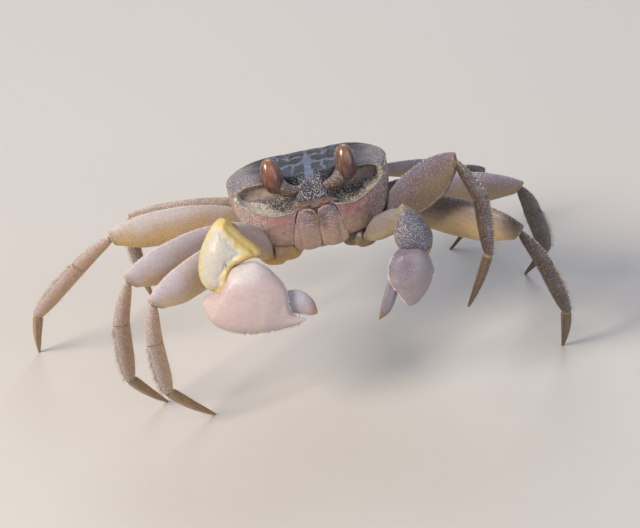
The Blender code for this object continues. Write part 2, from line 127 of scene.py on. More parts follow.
def curve_through(points: Sequence[Sequence[float]], count: int, closed: bool = False) -> Array:
    """Evenly spaced points on a smooth curve through the given ones.

    Args:
        points: two or more points of any dimension.
        count: how many points to return.
        closed: join the last point to the first.

    Returns:
        (count, dimension) points; a closed curve doesn't repeat its first point.
    """
    p = np.array(points, dtype=float)
    if closed:
        p = np.vstack([p[-1], p, p[0], p[1]])
    else:
        p = np.vstack([2 * p[0] - p[1], p, 2 * p[-1] - p[-2]])
    fine = []
    for a, b, c, d in zip(p, p[1:], p[2:], p[3:]):
        t = np.linspace(0, 1, 40, endpoint=False)[:, None]
        fine.append(0.5 * (2 * b + (c - a) * t + (2 * a - 5 * b + 4 * c - d) * t ** 2
                           + (3 * b - a - 3 * c + d) * t ** 3))
    path = np.vstack(fine + [p[-2][None]])
    run = np.concatenate(([0], np.cumsum(np.linalg.norm(np.diff(path, axis=0), axis=1))))
    at = np.linspace(0, run[-1], count, endpoint=not closed)
    return np.stack([np.interp(at, run, path[:, k]) for k in range(path.shape[1])], axis=1)


def roughness_field(points: Array, size: float, seed: float) -> Array:
    """Soft random heights from -1 to 1 over points, with bumps about size mm across."""
    flat = points.reshape(-1, 3) / size + seed
    return np.array([noise.noise(Vector(p)) for p in flat]).reshape(points.shape[:-1])


def nearness(flat: Array, line: Rows) -> Array:
    """Distance of points of a plane from a broken line.

    Args:
        flat: points of the plane.
        line: corners of the line.

    Returns:
        The distances.
    """
    near = np.full(flat.shape[:-1], FAR)
    for a, b in zip(np.array(line), np.array(line)[1:]):
        t = np.clip(((flat - a) @ (b - a)) / float((b - a) @ (b - a)), 0, 1)
        near = np.minimum(near, np.linalg.norm(flat - (a + t[..., None] * (b - a)), axis=-1))
    return near


def rows_at(low: float, high: float, count: int, rows: int) -> Array:
    """Row numbers spread evenly over a share of a piece's rows."""
    return (np.linspace(low, high, count) * (rows - 1)).astype(int)


# ==================================== meshes ======================================================

SHIFT = np.zeros(3)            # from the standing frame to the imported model, mm; set by place_frame


def write_mesh(name: str, points: Array, faces: List[Array], finish: Material, traits: Traits,
               unwrap: Optional[List[Array]] = None) -> Obj:
    """Mesh object from points in mm.

    Args:
        name: the object's name.
        points: (n, 3) points of the standing frame.
        faces: arrays of corner indices, one array for each number of corners.
        finish: the surface's material.
        traits: values per point, stored as attributes.
        unwrap: (faces, corners, 2) map places that go with faces.

    Returns:
        The new object, linked to the scene.
    """
    mesh = bpy.data.meshes.new(name)
    polygons = [face for block in faces for face in block.tolist()]
    mesh.from_pydata(((points + SHIFT) * MM).tolist(), [], polygons)
    for key, values in traits.items():
        kind, slot = ("FLOAT_VECTOR", "vector") if values.ndim == 2 else ("FLOAT", "value")
        mesh.attributes.new(key, kind, "POINT").data.foreach_set(slot, values.ravel().astype(np.float32))
    if unwrap is not None:
        layer = mesh.uv_layers.new(name="UVMap")
        layer.data.foreach_set("uv", np.concatenate([u.reshape(-1) for u in unwrap]).astype(np.float32))
    mesh.shade_smooth()
    mesh.materials.append(finish)
    obj = bpy.data.objects.new(name, mesh)
    bpy.context.scene.collection.objects.link(obj)
    return obj


def signed_volume(points: Array, faces: List[Array]) -> float:
    """Six times the volume inside closed faces, negative where they point inwards.

    Args:
        points: places of the corners.
        faces: tables of corner numbers, one for each number of sides.

    Returns:
        Six times the volume.
    """
    total = 0.0
    for block in faces:
        for k in range(1, block.shape[1] - 1):
            a, b, c = (points[block[:, j]] for j in (0, k, k + 1))
            total += float(np.einsum("ij,ij->i", a, np.cross(b, c)).sum())
    return total


def loft(name: str, rings: Array, finish: Material, traits: Optional[Traits] = None) -> Obj:
    """Closed smooth body through rings, with a pole at each end.

    Args:
        name: the object's name.
        rings: (rows, columns, 3) points in mm.
        finish: the surface's material.
        traits: (rows, columns) or (rows, columns, 3) values per point.

    Returns:
        The new object.
    """
    rows, cols = rings.shape[:2]
    points = np.vstack([rings.reshape(-1, 3), rings[0].mean(0), rings[-1].mean(0)])
    index = np.arange(rows * cols).reshape(rows, cols)
    beside = np.roll(index, -1, axis=1)
    quads = np.stack([index[:-1], beside[:-1], beside[1:], index[1:]], -1).reshape(-1, 4)
    first, last = np.full(cols, rows * cols), np.full(cols, rows * cols + 1)
    tips = np.vstack([np.stack([first, beside[0], index[0]], -1),
                      np.stack([last, index[-1], beside[-1]], -1)])
    if signed_volume(points - points.mean(0), [quads, tips]) < 0:
        quads, tips = quads[:, ::-1], tips[:, ::-1]
    unwrap = []
    for block in (quads, tips):
        column, row = (block % cols).astype(float), (block // cols).astype(float)
        wraps = (column.max(1) == cols - 1) & (column.min(1) == 0) & (cols > 2)
        column[wraps[:, None] & (column == 0)] = cols
        row = np.minimum(row, rows - 1)
        pole = block >= rows * cols
        column[pole] = 0.5
        unwrap.append(np.stack([column / cols, row / (rows - 1)], -1))
    stored = {}
    for key, values in (traits or {}).items():
        flat = values.reshape(rows * cols, *values.shape[2:])
        stored[key] = np.concatenate([flat, values[0].mean(0)[None], values[-1].mean(0)[None]])
    return write_mesh(name, points, [quads, tips], finish, stored, unwrap)


def joined(name: str, parts: List[Obj]) -> Obj:
    """One object from several; their attributes and materials go along.

    Args:
        name: name of the whole.
        parts: objects to join.

    Returns:
        The one object.
    """
    with bpy.context.temp_override(active_object=parts[0], selected_editable_objects=parts,
                                   selected_objects=parts, object=parts[0]):
        bpy.ops.object.join()
    parts[0].name = parts[0].data.name = name
    return parts[0]


def pushed(rings: Array, amount: Array) -> Array:
    """Rings with every point moved outwards by amount mm.

    Args:
        rings: rows of points round a body, mm.
        amount: distance for each point.

    Returns:
        The moved rings.
    """
    along = np.gradient(rings, axis=0)
    around = np.roll(rings, -1, axis=1) - np.roll(rings, 1, axis=1)
    normal = unit(np.cross(around, along))
    outward = rings - rings.mean(axis=1, keepdims=True)
    if float(np.einsum("ijk,ijk->", normal, outward)) < 0:
        normal = -normal
    return rings + normal * amount[..., None]


def even(own: Array, crest: Array, **more: Array) -> Traits:
    """Traits of a piece whose colour doesn't change towards its ends."""
    return {"own": own, "crest": crest, "span": np.full(crest.shape, EVEN), **more}


def oval(cols: int, power: float) -> Tuple[Array, Array]:
    """Height and side, each from -1 to 1, round a superellipse of the given power.

    Args:
        cols: number of points.
        power: 2 for an ellipse, more for a boxier form.

    Returns:
        Height and side of each point.
    """
    angle = np.arange(cols) * TAU / cols
    c, s = np.cos(angle), np.sin(angle)
    return np.sign(c) * np.abs(c) ** (2 / power), np.sign(s) * np.abs(s) ** (2 / power)


@dataclass
class Sweep:
    """An oval section carried along a route.

    route is (rows, 3) points and up the direction of the section's upper edge. upper, lower, outer
    and inner are the section's four half sizes at every row.
    """

    route: Array
    up: Array
    upper: Array
    lower: Array
    outer: Array
    inner: Array
    cols: int = 56
    power: float = 2.2

    def rings(self) -> Swept:
        """Points of the sweep.

        Returns:
            (rows, cols, 3) rings, the same shape's own coordinates in mm (along, up, out), and the
            height round the section from -1 to 1.
        """
        run = unit(np.gradient(self.route, axis=0))
        out = unit(np.cross(run, np.broadcast_to(self.up, run.shape)))
        up = np.cross(out, run)
        height, side = oval(self.cols, self.power)
        tall = np.where(height > 0, height * self.upper[:, None], height * self.lower[:, None])
        wide = np.where(side > 0, side * self.outer[:, None], side * self.inner[:, None])
        rings = self.route[:, None] + up[:, None] * tall[..., None] + out[:, None] * wide[..., None]
        step = np.linalg.norm(np.diff(self.route, axis=0), axis=1)
        along = np.concatenate(([0.0], np.cumsum(step)))
        own = np.stack([np.broadcast_to(along[:, None], tall.shape), tall, wide], -1)
        return rings, own, np.broadcast_to(height, tall.shape).copy()


def tube(route: Array, up: Array, tall: Array, wide: Array, cols: int, power: float = 2.2) -> Swept:
    """A sweep whose section is as high above its route as below it, and as wide on both sides."""
    return Sweep(route, up, tall, tall, wide, wide, cols, power).rings()


def capped(rings: Array, first: Rows, last: Rows) -> Array:
    """Rings with both ends closed by shallow domes or cups.

    Args:
        rings: (rows, columns, 3) points.
        first: (scale, depth in mm) of each ring added at the start, outermost first; a depth below
            zero stands out.
        last: the same at the end.

    Returns:
        The longer stack of rings.
    """
    run = unit(rings[-1].mean(0) - rings[0].mean(0))
    start, end = [], []
    for scale, depth in first:
        middle = rings[0].mean(0)
        start.insert(0, (middle + (rings[0] - middle) * scale + run * depth)[None])
    for scale, depth in last:
        middle = rings[-1].mean(0)
        end.append((middle + (rings[-1] - middle) * scale - run * depth)[None])
    return np.concatenate(start + [rings] + end)


def padded_trait(values: Array, extra: int) -> Array:
    """A trait with its end rows repeated, to go with capped rings."""
    return np.concatenate([values[:1]] * extra + [values] + [values[-1:]] * extra)


@dataclass
class Pillow:
    """A domed plate over a closed outline that lies in a plane.

    outline holds (across, up) corners in mm, front and back are the heights of its two domes.
    """

    outline: Rows
    centre: Array
    across: Array
    up: Array
    front: float
    back: float
    crown: float = 2.4
    cols: int = 96
    rows: int = 40

    def rings(self) -> Swept:
        """Points of the plate.

        Returns:
            (rows, cols, 3) rings from the middle of the front to the middle of the back, the own
            coordinates in mm (across, up, out) and how near each point is to the rim, 0 to 1.
        """
        edge = curve_through(self.outline, self.cols, closed=True)
        middle = edge.mean(0)
        turn = np.linspace(0.04, math.pi - 0.04, self.rows)
        reach = np.sin(turn) ** (2 / self.crown)
        rise = np.sign(np.cos(turn)) * np.abs(np.cos(turn)) ** (2 / self.crown)
        rise = np.where(rise > 0, rise * self.front, rise * self.back)
        flat = middle + (edge - middle)[None] * reach[:, None, None]
        lift = np.broadcast_to(rise[:, None], flat.shape[:-1])
        out = np.cross(self.across, self.up)
        rings = self.centre + flat[..., :1] * self.across + flat[..., 1:] * self.up + lift[..., None] * out
        own = np.concatenate([flat, lift[..., None]], -1)
        return rings, own, np.broadcast_to(reach[:, None], lift.shape).copy()


@dataclass
class Shield:
    """A rounded body between two edges that lie in a plane.

    upper and lower hold (across, up) points in mm from the root to the tip, front and back are
    the heights of the two domes along it.
    """

    upper: Rows
    lower: Rows
    centre: Array
    across: Array
    up: Array
    front: Rows
    back: Rows
    rows: int = 150
    cols: int = 96
    power: float = 2.2

    def rings(self) -> Swept:
        """Points of the body.

        Returns:
            (rows, cols, 3) rings from root to tip, the own coordinates in mm (across, up, out) and
            the height between the edges from -1 to 1.
        """
        top, low = curve_through(self.upper, self.rows), curve_through(self.lower, self.rows)
        u = np.linspace(0, 1, self.rows)
        height, side = oval(self.cols, self.power)
        flat = (top + low)[:, None] / 2 + (top - low)[:, None] / 2 * height[:, None]
        front, back = spline(self.front, u)[:, None], spline(self.back, u)[:, None]
        domes = np.where(side > 0, side * front, side * back)
        own = np.concatenate([flat, domes[..., None]], -1)
        frame = np.stack([self.across, self.up, np.cross(self.across, self.up)])
        return self.centre + own @ frame, own, np.broadcast_to(height, domes.shape).copy()


# ==================================== roots of spines and hairs ===================================

PATCH = 0.003                  # side of the patch that one tuft or granule takes on its map
MOST_GRANULES = 2e7            # per square metre; the spacing thins them from there


class Roots:
    """Places from which spines, teeth or hairs grow."""

    def __init__(self) -> None:
        """An empty bed."""
        self.places: List[Array] = []
        self.aims: List[Array] = []
        self.reaches: List[Array] = []
        self.patches: List[Array] = []

    def sow(self, places: Array, aims: Array, reach: Array,
            patch: Tuple[float, float] = (0.5, 0.5)) -> None:
        """Add roots.

        Args:
            places: (n, 3) points in mm.
            aims: (n, 3) directions of growth.
            reach: length of each in mm, or one length for all.
            patch: corner of the strip of the map that this row of roots takes.
        """
        count = len(places)
        self.places.append(places)
        self.aims.append(np.broadcast_to(unit(np.asarray(aims, float)), (count, 3)))
        self.reaches.append(np.broadcast_to(np.asarray(reach, float), (count,)))
        along = np.linspace(0, 0.09, count)
        self.patches.append(np.stack([patch[0] + along, np.full(count, patch[1]), np.zeros(count)], -1))

    def count(self) -> int:
        """How many roots there are."""
        return sum(len(p) for p in self.places)


def add(tree: Tree, kind: str, inputs: Optional[dict] = None, take: object = 0,
        stops: Optional[Sequence[Tuple[float, Tuple[float, ...]]]] = None,
        **settings: object) -> Union[Socket, bpy.types.Node]:
    """Add a node with its settings and links.

    Args:
        tree: the tree to add to.
        kind: the node's type name.
        inputs: socket name or number to a value or to the socket that feeds it.
        take: name or number of the output to return, or None for the node itself.
        stops: (place, colour) of a colour ramp.
        settings: the node's own properties.

    Returns:
        The chosen output socket, or the node itself if it has no outputs.
    """
    node = tree.nodes.new(kind)
    for key, value in settings.items():
        setattr(node, key, value)
    for key, value in (inputs or {}).items():
        if isinstance(value, Socket):
            tree.links.new(value, node.inputs[key])
        else:
            node.inputs[key].default_value = value
    if stops:
        elements = node.color_ramp.elements
        while len(elements) < len(stops):
            elements.new(0.5)
        for element, (place, colour) in zip(elements, stops):
            element.position, element.color = place, colour
    return node if take is None or not node.outputs else node.outputs[take]


def new_growth(name: str, numbers: Dict[str, object]) -> Tuple[Tree, bpy.types.Node]:
    """Empty Geometry Nodes tree with a geometry in and out, a finish and named numbers.

    Args:
        name: the tree's name.
        numbers: its inputs and their first values.

    Returns:
        The tree and its input node.
    """
    tree = bpy.data.node_groups.new(name, "GeometryNodeTree")
    for label, in_out, kind in (("Geometry", "INPUT", "Geometry"), ("Geometry", "OUTPUT", "Geometry"),
                                ("Finish", "INPUT", "Material")):
        tree.interface.new_socket(label, in_out=in_out, socket_type=f"NodeSocket{kind}")
    for label, value in numbers.items():
        kind = {int: "NodeSocketInt", float: "NodeSocketFloat", str: "NodeSocketString"}[type(value)]
        tree.interface.new_socket(label, in_out="INPUT", socket_type=kind).default_value = value
    return tree, tree.nodes.new("NodeGroupInput")


def named(tree: Tree, name: object, kind: str = "FLOAT_VECTOR") -> Socket:
    """A named attribute of the geometry."""
    return add(tree, "GeometryNodeInputNamedAttribute", {"Name": name}, data_type=kind)


def calc(tree: Tree, a: object, operation: str, b: object) -> Socket:
    """Two numbers joined by a Math node's operation."""
    return add(tree, "ShaderNodeMath", {0: a, 1: b}, operation=operation)


def stored_map(tree: Tree, geometry: Socket, name: str, value: Socket) -> Socket:
    """Geometry that carries a map under a name."""
    return add(tree, "GeometryNodeStoreNamedAttribute", {"Geometry": geometry, "Name": name, "Value": value},
               data_type="FLOAT2", domain="CORNER")


def drawn(tree: Tree, low: float, high: float, seed: int) -> Socket:
    """A random number for each place."""
    return add(tree, "FunctionNodeRandomValue", {2: low, 3: high, "Seed": seed}, take=1, data_type="FLOAT")


def granule_growth() -> Tree:
    """Tree that scatters low domed granules over a surface, as dense as the attribute Mask says.

    Returns:
        The finished tree.
    """
    tree, given = new_growth("granules", {"Spacing": 0.0004, "Radius": 0.0001, "Seed": 1, "Mask": "grain"})
    get = given.outputs
    spot = add(tree, "GeometryNodeDistributePointsOnFaces", {
        "Mesh": get["Geometry"], "Distance Min": get["Spacing"], "Density Max": MOST_GRANULES,
        "Density Factor": named(tree, get["Mask"], "FLOAT"), "Seed": get["Seed"]},
        take=None, distribute_method="POISSON")
    size = calc(tree, drawn(tree, 0.6, 1.25, 7), "MULTIPLY", get["Radius"])
    scale = add(tree, "ShaderNodeCombineXYZ", {0: size, 1: size, 2: calc(tree, size, "MULTIPLY", 0.62)})
    bead = add(tree, "GeometryNodeMeshIcoSphere", {"Radius": 1.0}, take=None).outputs
    grown = add(tree, "GeometryNodeInstanceOnPoints", {
        "Points": spot.outputs["Points"], "Rotation": spot.outputs["Rotation"], "Scale": scale,
        "Instance": stored_map(tree, bead["Mesh"], "bead_map", bead["UV Map"])})
    return finish_growth(tree, given, grown, "UVMap")


def spike_growth() -> Tree:
    """Tree that grows a bent cone at every root, along its 'aim' and as long as its 'reach'.

    Returns:
        The finished tree.
    """
    tree, given = new_growth("spikes", {"Slenderness": 0.1, "Bend": 0.0, "Sides": 6, "Steps": 2})
    get = given.outputs
    cone = add(tree, "GeometryNodeMeshCone", {
        "Vertices": get["Sides"], "Side Segments": get["Steps"], "Radius Bottom": get["Slenderness"],
        "Radius Top": 0.0, "Depth": 1.0}, take=None).outputs
    height = add(tree, "ShaderNodeSeparateXYZ", {0: add(tree, "GeometryNodeInputPosition")}, take="Z")
    away = calc(tree, calc(tree, height, "MULTIPLY", height), "MULTIPLY", get["Bend"])
    bent = add(tree, "GeometryNodeSetPosition", {
        "Geometry": stored_map(tree, cone["Mesh"], "bead_map", cone["UV Map"]),
        "Offset": add(tree, "ShaderNodeCombineXYZ", {0: away})})
    turn = add(tree, "FunctionNodeAlignRotationToVector", {"Vector": named(tree, "aim")}, axis="Z")
    twist = add(tree, "FunctionNodeAxisAngleToRotation",
                {"Axis": (0, 0, 1), "Angle": drawn(tree, 0.0, TAU, 3)})
    turn = add(tree, "FunctionNodeRotateRotation", {"Rotation": turn, "Rotate By": twist},
               rotation_space="LOCAL")
    grown = add(tree, "GeometryNodeInstanceOnPoints",
                {"Points": get["Geometry"], "Instance": bent, "Rotation": turn,
                 "Scale": named(tree, "reach", "FLOAT")})
    return finish_growth(tree, given, grown, "root_map")


def finish_growth(tree: Tree, given: bpy.types.Node, grown: Socket, root_map: str) -> Tree:
    """Realize what has grown, lay its map as small patches at the roots' places and set its finish.

    Args:
        tree: tree to complete.
        given: its input node.
        grown: what has grown, as instances.
        root_map: name of the map that holds the roots' places.

    Returns:
        The finished tree.
    """
    real = add(tree, "GeometryNodeRealizeInstances", {"Geometry": grown})
    small = add(tree, "ShaderNodeVectorMath", {0: named(tree, "bead_map"), "Scale": PATCH}, operation="SCALE")
    place = add(tree, "ShaderNodeVectorMath", {0: named(tree, root_map), 1: small}, operation="ADD")
    smooth = add(tree, "GeometryNodeSetShadeSmooth", {"Geometry": stored_map(tree, real, "OFBake", place)})
    done = add(tree, "GeometryNodeSetMaterial", {"Geometry": smooth, "Material": given.outputs["Finish"]})
    add(tree, "NodeGroupOutput", {"Geometry": done})
    return tree


def grown(name: str, base: Obj, tree: Tree, finish: Material, values: Dict[str, object]) -> Obj:
    """Plain mesh of what a tree grows on a base.

    Args:
        name: the new object's name.
        base: surface or roots to grow on; it is left as it was.
        tree: the Geometry Nodes tree.
        finish: material of the growth.
        values: the tree's named numbers.

    Returns:
        The new object, linked to the scene.
    """
    bed = bpy.data.objects.new(name + "_bed", base.data)
    bpy.context.scene.collection.objects.link(bed)
    modifier = bed.modifiers.new("growth", "NODES")
    modifier.node_group = tree
    for item in tree.interface.items_tree:
        if item.in_out == "INPUT" and item.name in values:
            modifier[item.identifier] = values[item.name]
        elif item.in_out == "INPUT" and item.name == "Finish":
            modifier[item.identifier] = finish
    graph = bpy.context.evaluated_depsgraph_get()
    mesh = bpy.data.meshes.new_from_object(bed.evaluated_get(graph))
    mesh.name = name
    bpy.data.objects.remove(bed, do_unlink=True)
    for key in [a.name for a in mesh.attributes if a.name in ("bead_map", "root_map", "UVMap")]:
        mesh.attributes.remove(mesh.attributes[key])
    obj = bpy.data.objects.new(name, mesh)
    bpy.context.scene.collection.objects.link(obj)
    return obj


def grown_from_roots(name: str, roots: Roots, tree: Tree, finish: Material,
                     values: Dict[str, float]) -> Obj:
    """Plain mesh of the spines or hairs that a tree grows from a bed of roots.

    Args:
        name: name of the piece.
        roots: bed of roots.
        tree: tree that grows them.
        finish: their material.
        values: numbers that the tree takes.

    Returns:
        The mesh object.
    """
    mesh = bpy.data.meshes.new(name + "_roots")
    mesh.from_pydata(((np.vstack(roots.places) + SHIFT) * MM).tolist(), [], [])
    for key, values_at, kind, slot in (("aim", np.vstack(roots.aims), "FLOAT_VECTOR", "vector"),
                                       ("reach", np.concatenate(roots.reaches) * MM, "FLOAT", "value"),
                                       ("root_map", np.vstack(roots.patches), "FLOAT_VECTOR", "vector")):
        mesh.attributes.new(key, kind, "POINT").data.foreach_set(slot, values_at.ravel().astype(np.float32))
    base = bpy.data.objects.new(name + "_roots", mesh)
    result = grown(name, base, tree, finish, values)
    bpy.data.objects.remove(base, do_unlink=True)
    return result


# ==================================== finishes ====================================================

def linear(code: str) -> Tuple[float, float, float, float]:
    """Linear colour of an sRGB hex value."""
    parts = [int(code[k:k + 2], 16) / 255 for k in (1, 3, 5)]
    return (*[c / 12.92 if c <= 0.04045 else ((c + 0.055) / 1.055) ** 2.4 for c in parts], 1.0)


def tone_of(value: object) -> object:
    """Linear colour of an sRGB hex value; anything else stays as it is."""
    return linear(value) if isinstance(value, str) else value


class Paint:
    """A node material under way, with short names for the nodes that the finishes repeat."""

    def __init__(self, name: str) -> None:
        """Empty material of this name.

        Args:
            name: name of the material.
        """
        self.material = bpy.data.materials.new(name)
        self.material.use_nodes = True
        self.tree = self.material.node_tree
        self.tree.nodes.clear()

    def trait(self, name: str, take: str = "Fac") -> Socket:
        """A value that the mesh stores."""
        return add(self.tree, "ShaderNodeAttribute", attribute_name=name, take=take)

    def noise(self, at: Socket, scale: float, detail: float, roughness: float = 0.5) -> Socket:
        """Cloudy noise from 0 to 1, scale per unit of at."""
        return add(self.tree, "ShaderNodeTexNoise",
                   {"Vector": at, "Scale": scale, "Detail": detail, "Roughness": roughness})

    def remap(self, value: object, low: float, high: float, to_low: object, to_high: object) -> Socket:
        """Value from one range brought to another, and held at its ends."""
        return add(self.tree, "ShaderNodeMapRange", {0: value, 1: low, 2: high, 3: to_low, 4: to_high})

    def plus(self, a: Socket, b: object) -> Socket:
        """Two numbers added."""
        return calc(self.tree, a, "ADD", b)

    def times(self, a: Socket, b: object) -> Socket:
        """Two numbers multiplied."""
        return calc(self.tree, a, "MULTIPLY", b)

    def part(self, vector: Socket, axis: str) -> Socket:
        """One coordinate."""
        return add(self.tree, "ShaderNodeSeparateXYZ", {0: vector}, take=axis)

    def mix(self, amount: object, under: object, over: object, blend: str = "MIX") -> Socket:
        """Colour over another; either is a socket or an sRGB hex value."""
        return add(self.tree, "ShaderNodeMix", {0: amount, 6: tone_of(under), 7: tone_of(over)}, take=2,
                   data_type="RGBA", blend_type=blend)

    def ramp(self, value: Socket, *stops: Tuple[float, object]) -> Socket:
        """Colour ramp through (place, colour) stops."""
        return add(self.tree, "ShaderNodeValToRGB", {0: value},
                   stops=[(place, tone_of(tone)) for place, tone in stops])

    def speckle(self, own: Socket, share: object, size_mm: float) -> Socket:
        """Short pale worms and dots of granular chitin.

        Args:
            own: coordinates in mm.
            share: how much of the surface they cover, 0 to 1.
            size_mm: width of one worm.

        Returns:
            1 on a worm, 0 between them.
        """
        worms = self.noise(own, 0.55 / size_mm, 2.0, 0.55)
        level = self.remap(share, 0.0, 1.0, 0.67, 0.40)
        return self.remap(calc(self.tree, worms, "SUBTRACT", level), 0.0, 0.05, 0.0, 1.0)

    def done(self, shader: dict, height: Optional[Socket] = None, relief: float = 0.0) -> Material:
        """Principled surface with relief mm of bump.

        Args:
            shader: values of the shader's sockets.
            height: height of the bump, if it has one.
            relief: depth of the bump, mm.

        Returns:
            The material.
        """
        if height is not None:
            shader["Normal"] = add(self.tree, "ShaderNodeBump",
                                   {"Height": height, "Distance": relief * MM, "Strength": 1.0})
        surface = add(self.tree, "ShaderNodeBsdfPrincipled", shader)
        add(self.tree, "ShaderNodeOutputMaterial", {"Surface": surface})
        return self.material


@dataclass(frozen=True)
class CarapaceFinish:
    """Chitin stiffened with chalk, satin and finely granular.

    The pigment lies in cells under a clear skin, so the blotches have soft lacy edges, and the
    granules scatter white.
    """

    deep: str = "#12141b"
    slate: str = "#252833"
    lace: str = "#66708a"
    shoulder: str = "#857a80"
    flank: str = "#a8968b"
    cheek: str = "#ad8d84"
    blush: str = "#a5636c"
    brow: str = "#95796f"
    lobe: str = "#45434f"
    belly: str = "#b39a76"
    floor: str = "#c0b7ad"
    hollow: str = "#474146"
    ochre: str = "#7d6045"
    speck: str = "#ded7d4"
    cream: str = "#ddd3c4"
    speck_mm: float = 0.115
    roughness: float = 0.42

    def build(self) -> Material:
        """Node material of the back and the face.

        Returns:
            The material.
        """
        paint = Paint("granular_chitin_carapace")
        own = paint.trait("own", "Vector")
        tone = paint.ramp(paint.noise(own, 0.7, 6.0, 0.65), (0.40, self.deep), (0.66, self.slate))
        lacy = paint.plus(paint.noise(own, 3.4, 5.0, 0.7), paint.trait("figure"))
        tone = paint.mix(paint.remap(lacy, 0.88, 1.34, 0.0, 0.95), tone, self.lace)
        # the pale stop at the foot of each orbit is partly pale granular chitin and partly a painted glint
        # off its granules
        hollow = paint.ramp(paint.trait("socket"), (0.03, self.floor), (0.24, self.hollow),
                            (0.46, self.hollow), (0.66, self.ochre))
        for mask, colour in (("lobe", self.lobe), ("shoulder", self.shoulder), ("flank", self.flank),
                             ("cheek", self.cheek), ("blush", self.blush), ("belly", self.belly),
                             ("brow", self.brow), ("orbit", hollow)):
            tone = paint.mix(paint.trait(mask), tone, colour)
        mottle = paint.remap(paint.noise(own, 1.5, 6.0), 0.3, 0.7, 0.72, 1.26)
        # painted shade: the whole shell is darkened from its right side towards its left, as if the left lay
        # in shadow
        painted_side_shade = paint.remap(paint.part(own, "X"), -8.0, 8.0, 1.03, 0.75)
        tone = paint.mix(1.0, tone, paint.times(mottle, painted_side_shade), "MULTIPLY")
        worms = paint.speckle(own, paint.trait("pale"), self.speck_mm)
        shown = paint.times(worms, paint.trait("bold"))
        tone = paint.mix(shown, tone, paint.mix(paint.trait("orbit"), self.speck, self.cream))
        return paint.done({
            "Base Color": tone, "Roughness": self.roughness, "IOR": 1.5, "Subsurface Weight": 0.06,
            "Subsurface Radius": (0.9, 0.5, 0.35), "Subsurface Scale": 0.001, "Specular IOR Level": 0.36,
            "Coat Weight": 0.06, "Coat Roughness": 0.3}, worms, 0.05)


@dataclass(frozen=True)
class LimbFinish:
    """Thin translucent chitin of a limb: lilac and granular above, honey-coloured and clear below."""

    name: str
    crest: str
    face: str
    low: str
    joint: str = "#a8916e"
    speck: str = "#efe9e6"
    density: float = 0.48      # share of the crest that pale worms cover
    bold: float = 0.48         # strength of the worms
    speck_mm: float = 0.11
    roughness: float = 0.44
    glow: float = 0.22
    cloudy: float = 0.08       # how far the ground tone drifts

    def build(self) -> Material:
        """Node material of one kind of limb plate.

        Returns:
            The material.
        """
        paint = Paint(self.name)
        own = paint.trait("own", "Vector")
        drift = paint.remap(paint.noise(own, 0.35, 3.0), 0.3, 0.7, -0.3, 0.3)
        level = paint.remap(paint.plus(paint.trait("crest"), drift), -1.0, 1.0, 0.0, 1.0)
        tone = paint.ramp(level, (0.05, self.low), (0.32, self.low), (0.62, self.face), (0.92, self.crest))
        mottle = paint.remap(paint.noise(own, 1.6, 5.0), 0.3, 0.7, 1.0 - self.cloudy, 1.0 + self.cloudy)
        tone = paint.mix(1.0, tone, mottle, "MULTIPLY")
        most, none = (0.7, 0.7, 0.7, 1), (0, 0, 0, 1)
        ends = paint.ramp(paint.trait("span"), (0.0, most), (0.04, none), (0.965, none), (1.0, most))
        tone = paint.mix(ends, tone, self.joint)
        worms = paint.speckle(own, paint.remap(level, 0.1, 0.95, self.density * 0.5, self.density),
                              self.speck_mm)
        tone = paint.mix(paint.times(worms, self.bold), tone, self.speck)
        return paint.done({
            "Base Color": tone, "Roughness": self.roughness, "IOR": 1.5,
            "Subsurface Weight": self.glow, "Subsurface Radius": (1.0, 0.6, 0.3),
            "Subsurface Scale": 0.0012, "Coat Weight": 0.08, "Coat Roughness": 0.3}, worms, 0.03)


@dataclass(frozen=True)
class CorneaFinish:
    """Clear hard cornea over brown pigment: faint upright streaks under a wet gloss."""

    name: str
    amber: str
    brown: str
    dark: str

    def build(self) -> Material:
        """Node material of an eye.

        Returns:
            The material.
        """
        paint = Paint(self.name)
        own = paint.trait("own", "Vector")
        thin = add(paint.tree, "ShaderNodeVectorMath", {0: own, 1: (2.6, 2.6, 0.35)}, operation="MULTIPLY")
        low = paint.remap(paint.part(own, "Z"), -2.6, 2.6, -0.30, 0.16)
        tone = paint.ramp(paint.plus(paint.noise(thin, 1.0, 6.0, 0.62), low),
                          (0.08, self.dark), (0.40, self.brown), (0.66, self.amber))
        tone = paint.mix(paint.trait("shade"), tone, self.dark)
        facets = add(paint.tree, "ShaderNodeTexVoronoi", {"Vector": own, "Scale": 12.0}, take="Distance")
        return paint.done({
            "Base Color": tone, "Roughness": 0.3, "IOR": 1.5, "Coat Weight": 0.8,
            "Coat Roughness": 0.12, "Coat IOR": 1.5}, facets, 0.006)


@dataclass(frozen=True)
class PlainFinish:
    """A soft or hard tissue of one colour that varies a little: membrane, rim, tooth, hair, granule."""

    name: str
    light: str
    dark: str
    grain_mm: float = 0.5
    roughness: float = 0.45
    glow: float = 0.2
    relief: float = 0.03

    def build(self) -> Material:
        """Node material on object coordinates, as these pieces carry no frame of their own.

        Returns:
            The material.
        """
        paint = Paint(self.name)
        place = add(paint.tree, "ShaderNodeTexCoord", take="Object")
        cloud = paint.noise(place, 1000 / self.grain_mm / 2, 4.0)
        tone = paint.ramp(cloud, (0.35, self.dark), (0.62, self.light))
        return paint.done({
            "Base Color": tone, "Roughness": self.roughness, "IOR": 1.45,
            "Subsurface Weight": self.glow, "Subsurface Radius": (1.0, 0.7, 0.4),
            "Subsurface Scale": 0.0008}, cloud, self.relief)


# ==================================== the rig =====================================================

class Side(Enum):
    """Which side of the crab."""

    RIGHT = -1
    LEFT = 1

    @property
    def tag(self) -> str:
        """Word used in names."""
        return self.name.lower()


